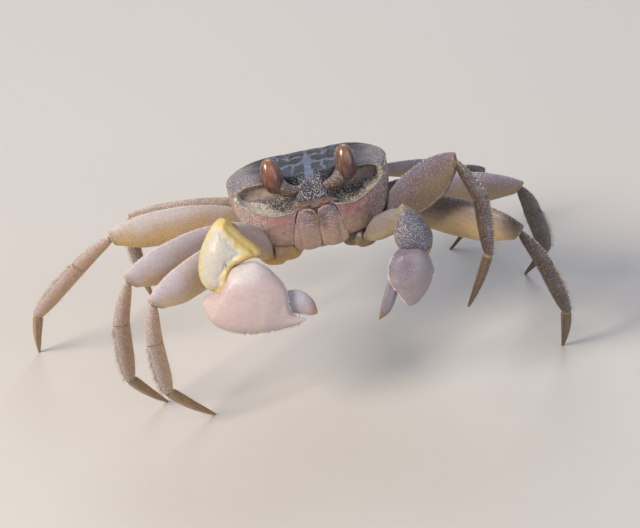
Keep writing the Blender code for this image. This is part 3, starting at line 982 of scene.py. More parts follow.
@dataclass(frozen=True)
class BodyPose:
    """How the body is held over the floor, mm and degrees."""

    height: float = 29.0
    pitch: float = 20.0
    roll: float = 4.3
    swing: float = 2.0             # face swung to the crab's left

    def matrix(self) -> Array:
        """Rotation from the body's frame to the standing frame.

        Returns:
            A matrix of 3 by 3.
        """
        swing, roll, pitch = (Matrix.Rotation(math.radians(angle), 3, axis) for angle, axis in (
            (self.swing, "Z"), (-self.roll, "Y"), (-self.pitch, "X")))
        return np.array(swing @ roll @ pitch)

    def stand(self, points: Array) -> Array:
        """Points of the body's frame in the standing frame."""
        return points @ self.matrix().T + vec(0, 0, self.height)

    def turn(self, directions: Array) -> Array:
        """Directions of the body's frame in the standing frame."""
        return np.asarray(directions, float) @ self.matrix().T


POSE = BodyPose()


@dataclass(frozen=True)
class LegPair:
    """What a left and a right leg share: the hip in the body's frame, lengths and depths, mm."""

    hip: Point
    lengths: Tuple[float, ...]
    depths: Tuple[float, ...]


@dataclass(frozen=True)
class Stance:
    """How one leg is held, in degrees: heading, lean of its plane, pitch of four segments.

    twist turns the blades about their own length, so that the upper edge tips backwards.
    """

    heading: float
    lean: float
    pitches: Tuple[float, ...]
    twist: float = 0.0
    inward: bool = True
    raised: Optional[float] = None


LEG_PAIRS = {
    1: LegPair((7.2, -3.0, -6.4), (3.2, 19.2, 5.9, 9.0, 10.8), (2.3, 5.8, 2.7, 2.7, 1.6)),
    2: LegPair((8.2, 0.6, -6.2), (3.2, 21.6, 6.7, 11.0, 10.2), (2.3, 5.9, 2.7, 2.7, 1.6)),
    3: LegPair((8.0, 4.2, -5.6), (3.2, 19.8, 7.3, 12.7, 10.0), (2.2, 5.5, 2.6, 2.7, 1.5)),
    4: LegPair((6.8, 7.2, -4.6), (3.2, 17.6, 5.0, 8.4, 7.4), (1.8, 3.2, 1.9, 2.0, 1.3)),
}
STANCES = {
    (1, Side.RIGHT): Stance(39, 5, (1, -2, -78, -94), 8),
    (2, Side.RIGHT): Stance(37, -4, (9, 7, -72, -93), 16),
    (3, Side.RIGHT): Stance(12, -22, (8, 7, -47, -57), 32, inward=False),
    (4, Side.RIGHT): Stance(-5, -17, (-3, -6, -83, -92), 18),
    (1, Side.LEFT): Stance(42, 4, (-16, 48, -45, -82), 0, raised=-109),
    (2, Side.LEFT): Stance(35, -18, (5, 5, -67, -82), 28),
    (3, Side.LEFT): Stance(15, -28, (19, 6, -80, -86), 22),
    (4, Side.LEFT): Stance(-30, -8, (14, -25, -34, -88), 0),
}


class Limb(Enum):
    """The five plates of a walking leg, from the hip out."""

    ISCHIUM = "ischium"
    MERUS = "merus"
    CARPUS = "carpus"
    PROPODUS = "propodus"
    DACTYLUS = "dactylus"


@dataclass(frozen=True)
class LimbShape:
    """Shape of one kind of plate, in shares of its length and of its greatest half depth."""

    group: str                 # finish that it takes
    outline: Rows
    bow: float
    flatness: float
    power: float
    twist: float
    gap: float                 # half of the gap at the lower end, mm


LIMB_SHAPES = {
    Limb.ISCHIUM: LimbShape("base", ((0.0, 0.80), (0.5, 1.0), (1.0, 0.92)), 0.0, 0.85, 2.1, 1.0, 0.12),
    Limb.MERUS: LimbShape("merus", ((0.0, 0.46), (0.1, 0.62), (0.3, 0.84), (0.52, 1.0), (0.74, 0.94),
                                    (0.88, 0.72), (0.96, 0.53), (1.0, 0.44)), 0.12, 0.44, 1.9, 1.0, 0.2),
    Limb.CARPUS: LimbShape("distal", ((0.0, 0.42), (0.1, 0.56), (0.3, 0.74), (0.6, 0.90), (1.0, 1.0)),
                           0.16, 0.58, 2.0, 0.5, 0.05),
    Limb.PROPODUS: LimbShape("distal", ((0.0, 1.0), (0.3, 1.02), (0.6, 0.97), (0.85, 0.80), (0.96, 0.66),
                                        (1.0, 0.60)), 0.10, 0.55, 1.9, 0.3, 0.14),
    Limb.DACTYLUS: LimbShape("toe", ((0.0, 0.80), (0.06, 0.95), (0.3, 0.88), (0.6, 0.66), (0.85, 0.42),
                                     (1.0, 0.22)), 0.22, 0.66, 1.9, 0.3, 0.0),
}
# the merus has an upper edge of its own
MERUS_CREST = ((0.0, 0.46), (0.08, 0.64), (0.25, 0.86), (0.5, 1.0), (0.73, 0.96), (0.88, 0.77),
               (0.96, 0.56), (1.0, 0.44))
THINNEST = 0.2                 # least half thickness, mm
LEG_COLS = 56
LEG_ROW = 0.16                 # mm between the rows of a leg's plate


def mitre(rings: Array, run: Array, at: Array, cut: Array, weight: Array, row: int) -> Array:
    """Slide points along run so that one row lies in a plane, the rest following by weight.

    Args:
        rings: rings of a piece.
        run: direction of the slide.
        at: a point of the plane.
        cut: the plane's normal.
        weight: share of the slide for each row.
        row: row that comes to lie in the plane.

    Returns:
        The moved rings.
    """
    ring = rings[row]
    slide = ((at - ring) @ cut) / float(run @ cut)
    return rings + (slide[None, :] * weight[:, None])[..., None] * run


@dataclass
class Leg:
    """One walking leg."""

    number: int
    side: Side
    finishes: Dict[str, Material]
    bristles: Roots
    spines: Roots
    patch: Tuple[float, float]

    def __post_init__(self) -> None:
        """Work out the joints, the runs between them and the normal of the leg's plane."""
        self.name = f"leg_{self.number}_{self.side.tag}"
        self.pair, self.stance = LEG_PAIRS[self.number], STANCES[(self.number, self.side)]
        self.joints, self.normal = self.posed()
        self.runs = [unit(b - a) for a, b in zip(self.joints, self.joints[1:])]

    def posed(self) -> Tuple[Array, Array]:
        """Six joint centres from hip to foot, and the normal of the leg's plane.

        Returns:
            The joints, one to a row, and the normal.
        """
        pair, stance, s = self.pair, self.stance, self.side.value
        heading, lean = math.radians(stance.heading), math.radians(stance.lean)
        out = vec(s * math.cos(heading), -math.sin(heading), 0)
        across = vec(s * math.sin(heading), math.cos(heading), 0)
        up = vec(0, 0, 1) * math.cos(lean) + across * math.sin(lean)
        joints = [POSE.stand(vec(s * pair.hip[0], pair.hip[1], pair.hip[2]))]
        for pitch, length in zip(stance.pitches, pair.lengths):
            angle = math.radians(pitch)
            joints.append(joints[-1] + (out * math.cos(angle) + up * math.sin(angle)) * length)
        if stance.raised is not None:
            angle = math.radians(stance.raised)
        else:
            angle = -math.asin(min(joints[-1][2] / up[2] / pair.lengths[4], 0.999))
            angle = -math.pi - angle if stance.inward else angle
        joints.append(joints[-1] + (out * math.cos(angle) + up * math.sin(angle)) * pair.lengths[4])
        return np.array(joints), np.cross(out, up)

    def tipped(self, run: Array, kind: Limb) -> Array:
        """The direction of a plate's upper edge, turned about its run by the leg's twist.

        Args:
            run: direction of the plate.
            kind: which plate.

        Returns:
            The edge's direction.
        """
        deep = np.cross(self.normal, run)
        angle = math.radians(self.stance.twist * LIMB_SHAPES[kind].twist) * -self.side.value
        return deep * math.cos(angle) + np.cross(run, deep) * math.sin(angle)

    def ribbed(self, kind: Limb, rings: Array, half: float, u: Array) -> Array:
        """A toe's rings with flutes along them, another plate's with a ridge along its upper edge.

        Args:
            kind: which plate.
            rings: its rings.
            half: half its depth, mm.
            u: share of its length at each row.

        Returns:
            The shaped rings.
        """
        angle = np.arange(LEG_COLS) * TAU / LEG_COLS
        if kind is Limb.DACTYLUS:
            return pushed(rings, 0.09 * half * np.cos(6 * angle) * np.sin(math.pi * u)[:, None] ** 0.5)
        ridge = 0.05 * half * bell((angle + math.pi) % TAU - math.pi, 0, 0.22)
        return pushed(rings, ridge[None] * np.sin(math.pi * u)[:, None])

    def cut_to_fit(self, k: int, kind: Limb, rings: Array, u: Array) -> Array:
        """Rings cut at the joint's bisecting plane at both ends, or flat on the floor at the foot.

        Args:
            k: number of the plate from the hip.
            kind: which plate.
            rings: its rings.
            u: share of its length at each row.

        Returns:
            The cut rings.
        """
        run, end = self.runs[k], self.joints[k + 1]
        first, last = unit(self.runs[max(k - 1, 0)] + run), unit(self.runs[min(k + 1, 4)] + run)
        gap = LIMB_SHAPES[list(Limb)[max(k - 1, 0)]].gap
        rings = mitre(rings, run, self.joints[k] + first * gap, first, 1 - smoothstep(0, 0.4, u), 0)
        if kind is not Limb.DACTYLUS:
            last_at = end - last * LIMB_SHAPES[kind].gap
            return mitre(rings, run, last_at, last, smoothstep(0.6, 1.0, u), -1)
        if self.stance.raised is None:
            return mitre(rings, run, vec(end[0], end[1], 0), vec(0, 0, 1), smoothstep(0.85, 1.0, u), -1)
        return rings

    def plate(self, k: int, kind: Limb) -> Obj:
        """Segment number k of the leg, and the roots of its spines and bristles.

        Args:
            k: number of the plate from the hip.
            kind: which plate.

        Returns:
            The plate.
        """
        shape, start, run, half = LIMB_SHAPES[kind], self.joints[k], self.runs[k], self.pair.depths[k] / 2
        length = float(np.linalg.norm(self.joints[k + 1] - start))
        deep = self.tipped(run, kind)
        u = np.linspace(0, 1, int(np.clip(length / LEG_ROW, 30, 120)))
        depth = np.maximum(half * spline(shape.outline, u), THINNEST)
        crest_depth = np.maximum(half * spline(MERUS_CREST, u), THINNEST) if kind is Limb.MERUS else depth
        thick = np.maximum(depth * shape.flatness, THINNEST)
        bow = half * shape.bow * np.sin(math.pi * u)
        route = start + np.outer(u * length, run) + np.outer(bow, deep)
        swept = Sweep(route, deep, crest_depth, depth, thick, thick * 0.92, LEG_COLS, shape.power)
        rings, own, crest = swept.rings()
        rings = self.cut_to_fit(k, kind, self.ribbed(kind, rings, half, u), u)
        self.grow(kind, rings, deep, run, length)
        cup, dome = ((0.97, 0.0), (0.88, 0.06), (0.6, 0.16)), ((0.96, -0.10), (0.84, -0.22), (0.55, -0.34))
        lower = {Limb.MERUS: dome, Limb.DACTYLUS: ((0.8, 0.0), (0.6, 0.0), (0.4, 0.0))}.get(kind, cup)
        traits = {"own": own, "crest": crest, "span": np.broadcast_to(u[:, None], crest.shape),
                  "grain": 0.75 * smoothstep(-0.3, 0.9, crest) + 0.1}
        traits = {name: padded_trait(values, len(cup)) for name, values in traits.items()}
        # pieces of the crab's left side take the darker copies of the finishes, which carry painted shade
        key = f"{shape.group}_{self.side.tag}"
        plate = loft(f"{self.name}_{kind.value}_shell", capped(rings, cup, lower),
                     self.finishes.get(f"{key}_{self.number}", self.finishes[key]), traits)
        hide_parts(f"{self.name}_{kind.value}")
        return plate

    def grow(self, kind: Limb, rings: Array, deep: Array, run: Array, length: float) -> None:
        """Sow the serrated upper edge of a plate and the bristles along its edges.

        Args:
            kind: which plate.
            rings: its rings.
            deep: direction of its upper edge.
            run: direction of the plate.
            length: its length, mm.
        """
        rows, cols = rings.shape[:2]
        rng = np.random.default_rng(self.number * 10 + self.side.value + len(kind.value))
        u, v = self.patch
        if kind in (Limb.MERUS, Limb.CARPUS, Limb.PROPODUS):
            count = int(length / 0.42)
            for column in (0, 2, cols - 2):
                at = np.linspace(0.06, 0.94, count) * (rows - 1)
                at = np.clip(at + rng.uniform(-0.8, 0.8, count), 0, rows - 1).astype(int)
                reach = rng.uniform(0.16, 0.30, count) * (1.0 if column == 0 else 0.8)
                self.spines.sow(rings[at, column] - deep * 0.06, deep + run * 0.5, reach)
        if kind is Limb.MERUS:
            count = int(length / 0.6)
            at = rows_at(0.12, 0.95, count, rows)
            for column in (cols // 2 - 4, cols // 2 + 4):
                reach = rng.uniform(0.14, 0.24, count)
                self.spines.sow(rings[at, column] + deep * 0.05, run * 0.5 - deep, reach)
        rows_of_hair = {Limb.MERUS: ((cols // 2, 14, 0.5),),
                        Limb.CARPUS: ((1, 18, 0.6), (cols - 2, 18, 0.6)),
                        Limb.PROPODUS: ((1, 90, 1.1), (cols - 1, 90, 1.0), (cols // 2, 60, 0.8),
                                        (cols // 4, 30, 0.5), (3 * cols // 4, 30, 0.5)),
                        Limb.DACTYLUS: ((0, 50, 0.7), (cols // 2, 50, 0.7), (cols // 4, 34, 0.5),
                                        (3 * cols // 4, 34, 0.5))}
        for k, (column, count, reach) in enumerate(rows_of_hair.get(kind, ())):
            at = (rng.uniform(0.03, 0.95, count) * (rows - 1)).astype(int)
            middle = rings[at].mean(axis=1)
            aims = unit(rings[at, column] - middle) + run * 0.9 + rng.normal(0, 0.18, (count, 3))
            lengths = rng.uniform(0.5, 1.15, count) * reach * (0.6 if self.number == 4 else 0.82)
            if kind is Limb.DACTYLUS:
                lengths = lengths * (1 - 0.55 * at / rows)
            patch = (u + 0.1 * (k % 2), v + 0.004 * k + 0.02 * list(Limb).index(kind))
            self.bristles.sow(rings[at, column] - unit(aims) * 0.03, aims, lengths, patch)

    def membrane(self, k: int, kind: Limb, half: float) -> Obj:
        """Soft sleeve round joint number k, tucked into the plates on both sides.

        Args:
            k: number of the joint.
            kind: plate beyond the joint.
            half: half depth of the plates there, mm.

        Returns:
            The sleeve.
        """
        before, after, thick = self.runs[k - 1], self.runs[k], half * LIMB_SHAPES[kind].flatness * 0.9
        u = np.linspace(-1, 1, 22)
        reach = 0.7
        route = self.joints[k] + np.where(u[:, None] < 0, np.outer(u, before), np.outer(u, after)) * reach
        route = route + np.outer(1 - u ** 2, (after - before) * 0.18 * reach)
        folds = 1 + 0.03 * np.cos(u * 14) - 0.3 * np.abs(u) ** 3
        deep = self.tipped(unit(before + after), kind)
        rings, _, _ = tube(route, deep, half * 0.90 * folds, thick * folds, 32)
        return loft("membrane", rings, self.finishes["joint"])

    def knee(self, k: int, half: float) -> Obj:
        """The two rounded condyles on which the knee turns, as one barrel through the joint.

        Args:
            k: number of the joint.
            half: half depth of the plates there, mm.

        Returns:
            The barrel.
        """
        bend = unit(self.runs[k - 1] + self.runs[k])
        pin = self.tipped(bend, Limb.CARPUS)
        u = np.linspace(-1, 1, 24)
        round_end = np.maximum(half * 0.34 * (1 - np.abs(u) ** 5), 0.05)
        reach = half * LIMB_SHAPES[Limb.CARPUS].flatness * 1.15
        route = self.joints[k] + pin * half * 0.55 + np.outer(u * reach, np.cross(pin, bend))
        rings, _, _ = tube(route, vec(0, 0, 1), round_end, round_end, 20, 2.0)
        return loft("hinge", rings, self.finishes["joint"])

    def build(self) -> List[Obj]:
        """The five plates, the sleeves between them and the coxa.

        Returns:
            The leg's pieces.
        """
        kinds, depths, pieces, sleeves = list(Limb), self.pair.depths, [], []
        for k, kind in enumerate(kinds):
            pieces.append(self.plate(k, kind))
            if k:
                half = min(depths[k] * LIMB_SHAPES[kind].outline[0][1],
                           depths[k - 1] * LIMB_SHAPES[kinds[k - 1]].outline[-1][1]) / 2
                sleeves.append(self.membrane(k, kind, half))
                if kind is Limb.CARPUS:
                    sleeves.append(self.knee(k, half))
        return pieces + [joined(f"{self.name}_membranes", sleeves), self.coxa()]

    def coxa(self) -> Obj:
        """The leg's first joint, a rounded barrel between breast plate and ischium.

        Returns:
            The barrel.
        """
        s, pair, hip, run = self.side.value, self.pair, self.joints[0], self.runs[0]
        root = POSE.stand(vec(s * (pair.hip[0] - 3.4), pair.hip[1], pair.hip[2] - 0.5))
        rows, hairs = 44, 26
        u = np.linspace(0, 1, rows)
        route = curve_through((root, (root + hip) / 2 + vec(0, 0, -0.25), hip - run * 0.2, hip + run * 0.45),
                              rows)
        half = pair.depths[0] / 2 * spline(((0, 1.05), (0.3, 1.34), (0.62, 1.2), (0.75, 1.36), (0.9, 1.22),
                                            (1, 0.85)), u)
        rings, own, crest = tube(route, POSE.turn(vec(0, 0, 1)), half, half * 0.95, 48)
        rng = np.random.default_rng(90 + self.number)
        ahead = POSE.turn(vec(0, 1 if self.number == 2 else -1, 0))
        for k in range(5 if self.number in (2, 3) else 0):
            at = (rng.uniform(0.15, 0.85, hairs) * (rows - 1)).astype(int)
            spot = route[at] + ahead * half[at][:, None] * 0.8 + POSE.turn(vec(0, 0, 0.5 - 0.28 * k))
            aims = ahead + rng.normal(0, 0.2, (hairs, 3)) - vec(0, 0, 0.3)
            self.bristles.sow(spot, aims, rng.uniform(0.5, 1.0, hairs),
                              (self.patch[0], self.patch[1] + 0.1 + 0.004 * k))
        span = np.broadcast_to(0.3 + 0.4 * u[:, None], crest.shape)
        # the left hips take the copy of the hip finish darkened as painted shade, the right hips a copy
        # brightened as painted light
        return loft(f"{self.name}_coxa", rings, self.finishes[f"base_{self.side.tag}"],
                    {"own": own, "crest": crest * 0.6 - 0.2, "span": span})


# ==================================== carapace ====================================================

@dataclass
class Carapace:
    """The back shell with the orbits, the front lobe and the cheeks, in the body's own frame, mm."""

    finish: Material
    rim_finish: Material
    edge_finish: Material
    half_width: float = 12.0
    cap_y: float = -7.2
    rear_y: float = 10.2
    plan: Rows = ((-7.2, 0.955), (-5.0, 1.0), (-2.0, 0.99), (1.0, 0.96), (4.0, 0.90), (7.0, 0.785),
                  (9.0, 0.63), (10.2, 0.44))
    crown: Rows = ((-7.2, 2.3), (-5.0, 2.65), (-2.0, 2.9), (1.0, 2.9), (4.0, 2.55), (7.0, 1.75),
                   (9.0, 0.75), (10.2, -0.2))
    shoulder: Rows = ((-7.2, 1.1), (-5.0, 1.7), (-2.0, 1.6), (1.0, 1.0), (4.0, 0.2), (7.0, -0.6),
                      (10.2, -1.3))
    belly: Rows = ((-7.2, -8.2), (-5.0, -7.1), (-3.0, -6.2), (0.6, -6.0), (4.2, -5.1), (7.2, -4.0),
                   (9.0, -3.2), (10.2, -2.7))
    crown_power: float = 2.6
    flank_power: float = 2.2
    left_share: float = 0.94       # width of the left half against the right half
    upper_rim: Rows = ((2.0, 0.9), (4.5, 1.5), (6.9, 1.85), (9.0, 1.8), (11.2, 1.0))
    lower_rim: Rows = ((2.0, -2.2), (3.5, -2.6), (5.6, -2.8), (8.5, -1.8), (11.2, 0.2))
    orbit_inner: float = 2.3
    orbit_outer: float = 11.0
    orbit_depth: float = 1.7
    mouth_sides: Rows = ((-9.0, 4.25), (-6.0, 3.9), (-2.4, 3.15))
    mouth_top: float = -2.4
    mouth_recess: float = 0.35
    cheek_slope: float = 0.34
    columns: int = 300
    face_rows: int = 125
    back_rows: int = 120

    def crest_y(self, side: Array) -> Array:
        """Depth of the orbit's lower edge."""
        return -10.1 + 1.5 * np.minimum((side / self.orbit_outer) ** 2.2, 1.0)

    def brow_y(self, side: Array) -> Array:
        """Depth of the orbit's upper edge."""
        return -8.5 + 0.6 * smoothstep(11.2, 8.5, side) - 1.2 * smoothstep(5.0, 2.2, side)

    def face_y(self, x: Array, z: Array) -> Array:
        """How far forward the face stands at x, z, hollowed by the orbits.

        Args:
            x: places across, mm.
            z: heights, mm.

        Returns:
            y of the face, mm.
        """
        side = np.abs(x)
        upper, lower = spline(self.upper_rim, side), spline(self.lower_rim, side)
        crest, brow = self.crest_y(side), self.brow_y(side)
        share = np.clip((z - lower) / (upper - lower), 0, 1)
        inner = smoothstep(self.orbit_inner, self.orbit_inner + 1.0, side)
        outer = smoothstep(self.orbit_outer, self.orbit_outer - 1.2, side)
        hollow = self.orbit_depth * inner * outer * (1 - np.abs(2 * share - 1) ** 2.6)
        above = crest + (brow - crest) * share + hollow + 0.9 * np.maximum(z - upper, 0)
        reach = spline(self.mouth_sides, z)
        frame = smoothstep(reach, reach - 0.35, side)
        frame = frame * smoothstep(self.mouth_top, self.mouth_top - 0.3, z)
        swell = -0.35 * bell(side, 6.6, 2.4) * smoothstep(0, 1.6, lower - z)
        below = crest + self.cheek_slope * (lower - z) + self.mouth_recess * frame + swell
        y = np.where(z >= lower, above, below)
        width = self.lobe_width(z)
        lobe = smoothstep(width + 0.45, width - 0.35, side) * smoothstep(-2.75, -2.35, z)
        tongue = spline(((-2.6, -10.15), (-1.9, -10.35), (-1.35, -10.6), (-0.9, -10.78), (-0.2, -10.45),
                         (0.8, -9.7), (1.9, -8.2), (2.4, -7.2)), z)
        tongue = tongue + 0.12 * bell(side, 0, 0.5) * smoothstep(-0.8, 0.4, z) - 0.10 * bell(z, -1.0, 0.25)
        return y + (tongue - y) * lobe

    def lobe_width(self, z: Array) -> Array:
        """Half width of the front lobe and of the band under it."""
        return spline(((-2.5, 3.2), (-1.7, 3.0), (-1.1, 2.65), (-0.5, 2.15), (0.3, 1.7), (0.9, 1.5),
                       (2.4, 1.6)), z)

    def stand(self, points: Array) -> Array:
        """Points of the even-sided shape in the standing frame, the left half narrowed."""
        share = np.where(points[..., :1] > 0, self.left_share, 1.0)
        return POSE.stand(np.concatenate([points[..., :1] * share, points[..., 1:]], -1))

    def angles(self) -> Array:
        """Angles that space the columns evenly round the first section.

        Returns:
            One angle for each column.
        """
        fine = np.linspace(0, TAU, 4001)
        path = np.stack(self.section(np.array([self.cap_y]), fine), -1)[0]
        run = np.concatenate(([0], np.cumsum(np.linalg.norm(np.diff(path, axis=0), axis=1))))
        return np.interp(np.arange(self.columns) * run[-1] / self.columns, run, fine)

    def section(self, y: Array, angle: Array) -> Tuple[Array, Array]:
        """x and z round the shell at each y.

        Args:
            y: places along the body, mm.
            angle: angles of the columns.

        Returns:
            x and z, mm, one row for each y.
        """
        half = spline(self.plan, y)[:, None] * self.half_width
        shoulder = spline(self.shoulder, y)[:, None]
        rise = spline(self.crown, y)[:, None] - shoulder
        drop = shoulder - spline(self.belly, y)[:, None]
        c, s = np.cos(angle)[None], np.sin(angle)[None]
        full = self.flank_power + 1.0 * smoothstep(-1.0, -6.5, y)[:, None]
        power = np.where(s >= 0, self.crown_power, full)
        x = np.sign(c) * np.abs(c) ** (2 / power) * half
        z = shoulder + np.sign(s) * np.abs(s) ** (2 / power) * np.where(s >= 0, rise, drop)
        return x, z

    def rings(self) -> Array:
        """Rings from the middle of the face over the rim and along the back to the rear.

        Returns:
            The rings, mm.
        """
        angle = self.angles()
        x0, z0 = self.section(np.array([self.cap_y]), angle)
        share = np.sin(math.pi / 2 * np.arange(1, self.face_rows + 1) / self.face_rows) ** 0.9
        rounding = np.sqrt(np.maximum(1 - share ** 14, 0))[:, None]
        x = x0 * share[:, None]
        z = -2.2 + (z0 + 2.2) * share[:, None]
        y = self.cap_y + (self.face_y(x, z) - self.cap_y) * rounding
        face = np.stack([x, y, z], -1)
        along = self.cap_y + (self.rear_y - self.cap_y) * np.linspace(0, 1, self.back_rows + 1)[1:]
        xb, zb = self.section(along, angle)
        back = np.stack([xb, np.broadcast_to(along[:, None], xb.shape), zb], -1)
        close = []
        for turn in np.linspace(0, math.pi / 2, 12)[1:-1]:
            ring = back[-1].copy()
            ring[:, 0] *= math.cos(turn)
            ring[:, 1] += 0.5 * math.sin(turn)
            ring[:, 2] = -1.2 + (ring[:, 2] + 1.2) * math.cos(turn)
            close.append(ring[None])
        return np.concatenate([face, back] + close)

    def relief(self, p: Array) -> Array:
        """Grooves and swellings of the back, mm.

        Args:
            p: points of the shell.

        Returns:
            Height at each point.
        """
        side, y, z = np.abs(p[..., 0]), p[..., 1], p[..., 2]
        top = smoothstep(0.6, 2.2, z) * smoothstep(-8.5, -6.5, y)
        legs_of_h = bell(side, 2.7, 0.55) * smoothstep(-4.5, -2.5, y) * smoothstep(6.5, 4.0, y)
        bar = bell(y, -0.4 + 0.10 * side, 0.6) * smoothstep(7.0, 4.5, side)
        branch = bell(y, 2.6 - 0.25 * side, 0.6) * smoothstep(2.2, 3.4, side) * smoothstep(9.5, 6.5, side)
        domes = (0.28 * bell(side, 6.8, 3.0) * bell(y, 2.0, 4.5)
                 + 0.16 * bell(side, 4.5, 1.6) * bell(y, -4.2, 1.8))
        soft = 0.05 * roughness_field(p, 1.1, 3.0)
        return top * (-0.26 * legs_of_h - 0.22 * bar - 0.16 * branch + domes) + soft

    def figure(self, p: Array) -> Array:
        """The pale figure on the dark back: a middle band with lacy branches on both sides.

        Args:
            p: points of the shell.

        Returns:
            Strength at each point, up to 1.
        """
        strokes = (
            (((0.1, -9.4), (0.15, -7.6), (0.0, -6.0), (0.3, -4.7), (0.3, -2.8), (0.0, -0.6), (0.0, 2.5),
              (0.0, 7.0)), 0.34),
            (((0.6, -3.6), (1.6, -4.5), (2.6, -4.1), (3.3, -4.6), (4.2, -4.9), (5.4, -4.0)), 0.30),
            (((2.2, -4.4), (2.15, -6.0), (2.5, -7.4)), 0.10),
            (((0.3, -1.0), (1.5, 0.0), (2.6, -0.2), (3.8, 1.4), (5.2, 2.8)), 0.24),
            (((2.7, -0.2), (2.8, 2.5), (2.3, 5.2), (0.0, 5.8)), 0.20),
            (((2.8, 2.6), (5.0, 3.6), (7.6, 2.6)), 0.14), (((4.2, -4.9), (5.2, -2.2), (3.9, 1.4)), 0.14),
            (((5.2, -2.2), (7.4, -2.8)), 0.10), (((2.3, 5.2), (4.6, 6.6), (6.6, 6.0)), 0.14))
        flat = np.stack([np.abs(p[..., 0]), p[..., 1]], -1)
        flat[..., 0] += 0.30 * roughness_field(p, 1.1, 21.0) + 0.12 * roughness_field(p, 0.45, 5.0)
        flat[..., 1] += 0.45 * roughness_field(p, 1.1, 33.0) + 0.16 * roughness_field(p, 0.45, 7.0)
        near = np.min([nearness(flat, points) - width for points, width in strokes], axis=0)
        worn = smoothstep(-2.5, 4.0, p[..., 1]) * (0.5 + 0.5 * roughness_field(p, 1.6, 27.0))
        return smoothstep(0.42, -0.12, near + 0.35 * worn) * (1 - 0.45 * worn)

    def masks(self, p: Array) -> Traits:
        """Where each colour of the shell lies, from the shape's own coordinates.

        Args:
            p: points of the shell.

        Returns:
            The maps by name.
        """
        x, y, z = p[..., 0], p[..., 1], p[..., 2]
        side = np.abs(x)
        upper, lower = spline(self.upper_rim, side), spline(self.lower_rim, side)
        front = smoothstep(-6.9, -7.6, y)
        width = self.lobe_width(z)
        outside = smoothstep(width - 0.1, width + 0.4, side)
        shoulder_z = spline(self.shoulder, y)
        in_orbit = smoothstep(lower - 0.05, lower + 0.15, z) * smoothstep(upper + 0.05, upper - 0.15, z)
        orbit = front * in_orbit * outside * smoothstep(11.4, 10.9, side)
        # Over the whole left orbit this is painted shade, moving its lower wall from the pale to the dark
        # hollow colour; both orbits are also made darker towards their inner ends.
        dark_part = np.maximum(smoothstep(6.8, 4.4, side), 0.9 * smoothstep(0.0, 2.0, x))
        socket = np.clip((z - lower) / np.maximum(upper - lower, 0.1), 0, 1) * 0.84 + 0.16 * dark_part
        brow = front * smoothstep(-0.95, -1.2, z) * (1 - outside) * smoothstep(-2.75, -2.4, z)
        lobe = (1 - outside) * smoothstep(-7.9, -9.0, y) * smoothstep(-1.2, -0.9, z)
        cheek = front * smoothstep(lower + 0.05, lower - 0.25, z) * (1 - brow)
        flank = (1 - front) * smoothstep(shoulder_z + 0.25, shoulder_z - 0.25, z)
        belly = smoothstep(-4.8, -6.8, z) * (0.35 + 0.65 * (1 - front))
        wave = roughness_field(p, 2.4, 11.0)
        reach = (side + 1.3 * wave + 1.6 * smoothstep(0.0, 6.0, -x) + 1.0 * smoothstep(0.0, 6.0, x)
                 - 0.35 * np.maximum(y + 3, 0))
        shoulder = smoothstep(7.2, 11.0, reach) * (1 - flank) * 0.9
        rear = smoothstep(6.0, 9.5, y) * 0.6 * (1 - flank)
        blush = cheek * bell(side, 5.4, 1.9) * bell(z, lower - 0.9, 1.0) * 0.65
        blush = np.maximum(blush, cheek * 0.5 * bell(side, 8.8, 1.4) * bell(z, lower - 0.8, 0.8))
        front_back = smoothstep(-4.0, -8.0, y) * smoothstep(4.6, 2.0, side) * smoothstep(-1.2, -0.9, z)
        patchy = 0.5 + 0.5 * roughness_field(p, 1.3, 17.0)
        # the extra pale and bold speckle at the foot of each orbit is partly pale granules and partly a
        # painted glint
        pale = (0.11 + 0.45 * shoulder + (0.20 * lobe + 0.24 * front_back) * (0.6 + 0.6 * patchy)
                + 0.48 * orbit + 0.34 * cheek + 0.36 * flank + 0.34 * brow
                + 0.16 * orbit * smoothstep(0.35, 0.05, socket))
        bold = (0.22 + 0.42 * shoulder * (1 - rear) + 0.17 * lobe + 0.18 * front_back
                + orbit * (0.28 + 0.18 * smoothstep(0.40, 0.05, socket) * smoothstep(4.0, 7.0, side)
                           + 0.12 * smoothstep(0.5, 0.8, socket)) + 0.06 * brow - 0.02 * cheek)
        grain = 0.10 + 0.7 * shoulder + 0.5 * lobe + 0.1 * front_back - 0.1 * orbit
        face_grain = front * (0.4 * cheek + 0.5 * brow + 0.6 * orbit) + 0.45 * flank
        under = 1 - 0.8 * belly
        return {"figure": self.figure(p) * (1 - shoulder), "orbit": orbit, "socket": socket, "cheek": cheek,
                "flank": flank, "belly": belly, "shoulder": np.maximum(shoulder, rear), "blush": blush,
                "brow": brow, "lobe": lobe * 0.8, "pale": np.clip(pale * under, 0, 0.95),
                "bold": np.clip(bold, 0, 0.9),
                "grain": np.clip(grain * (1 - np.maximum(cheek, np.maximum(flank, brow))), 0, 1),
                "face_grain": np.clip(face_grain * under, 0, 1)}

    def orbit_edge(self, s: int, x: Array, forward: float, rise: float) -> Array:
        """Points along the lower edge of one orbit."""
        return np.stack([s * x, self.crest_y(x) - forward, spline(self.lower_rim, x) + rise], -1)

    @staticmethod
    def side_edge(s: int, y: Array, half: Array, z: Array, out: float) -> Array:
        """Points along the keel of one side of the back."""
        return np.stack([s * (half + out), y, z + 0.1], -1)

    def rim(self, name: str, path: Array, size: Array, finish: Material) -> Obj:
        """A thin raised edge along a path."""
        rings, _, _ = tube(path, vec(0, 0, 1), size, size * 0.8, 14)
        return loft(name, self.stand(rings), finish)

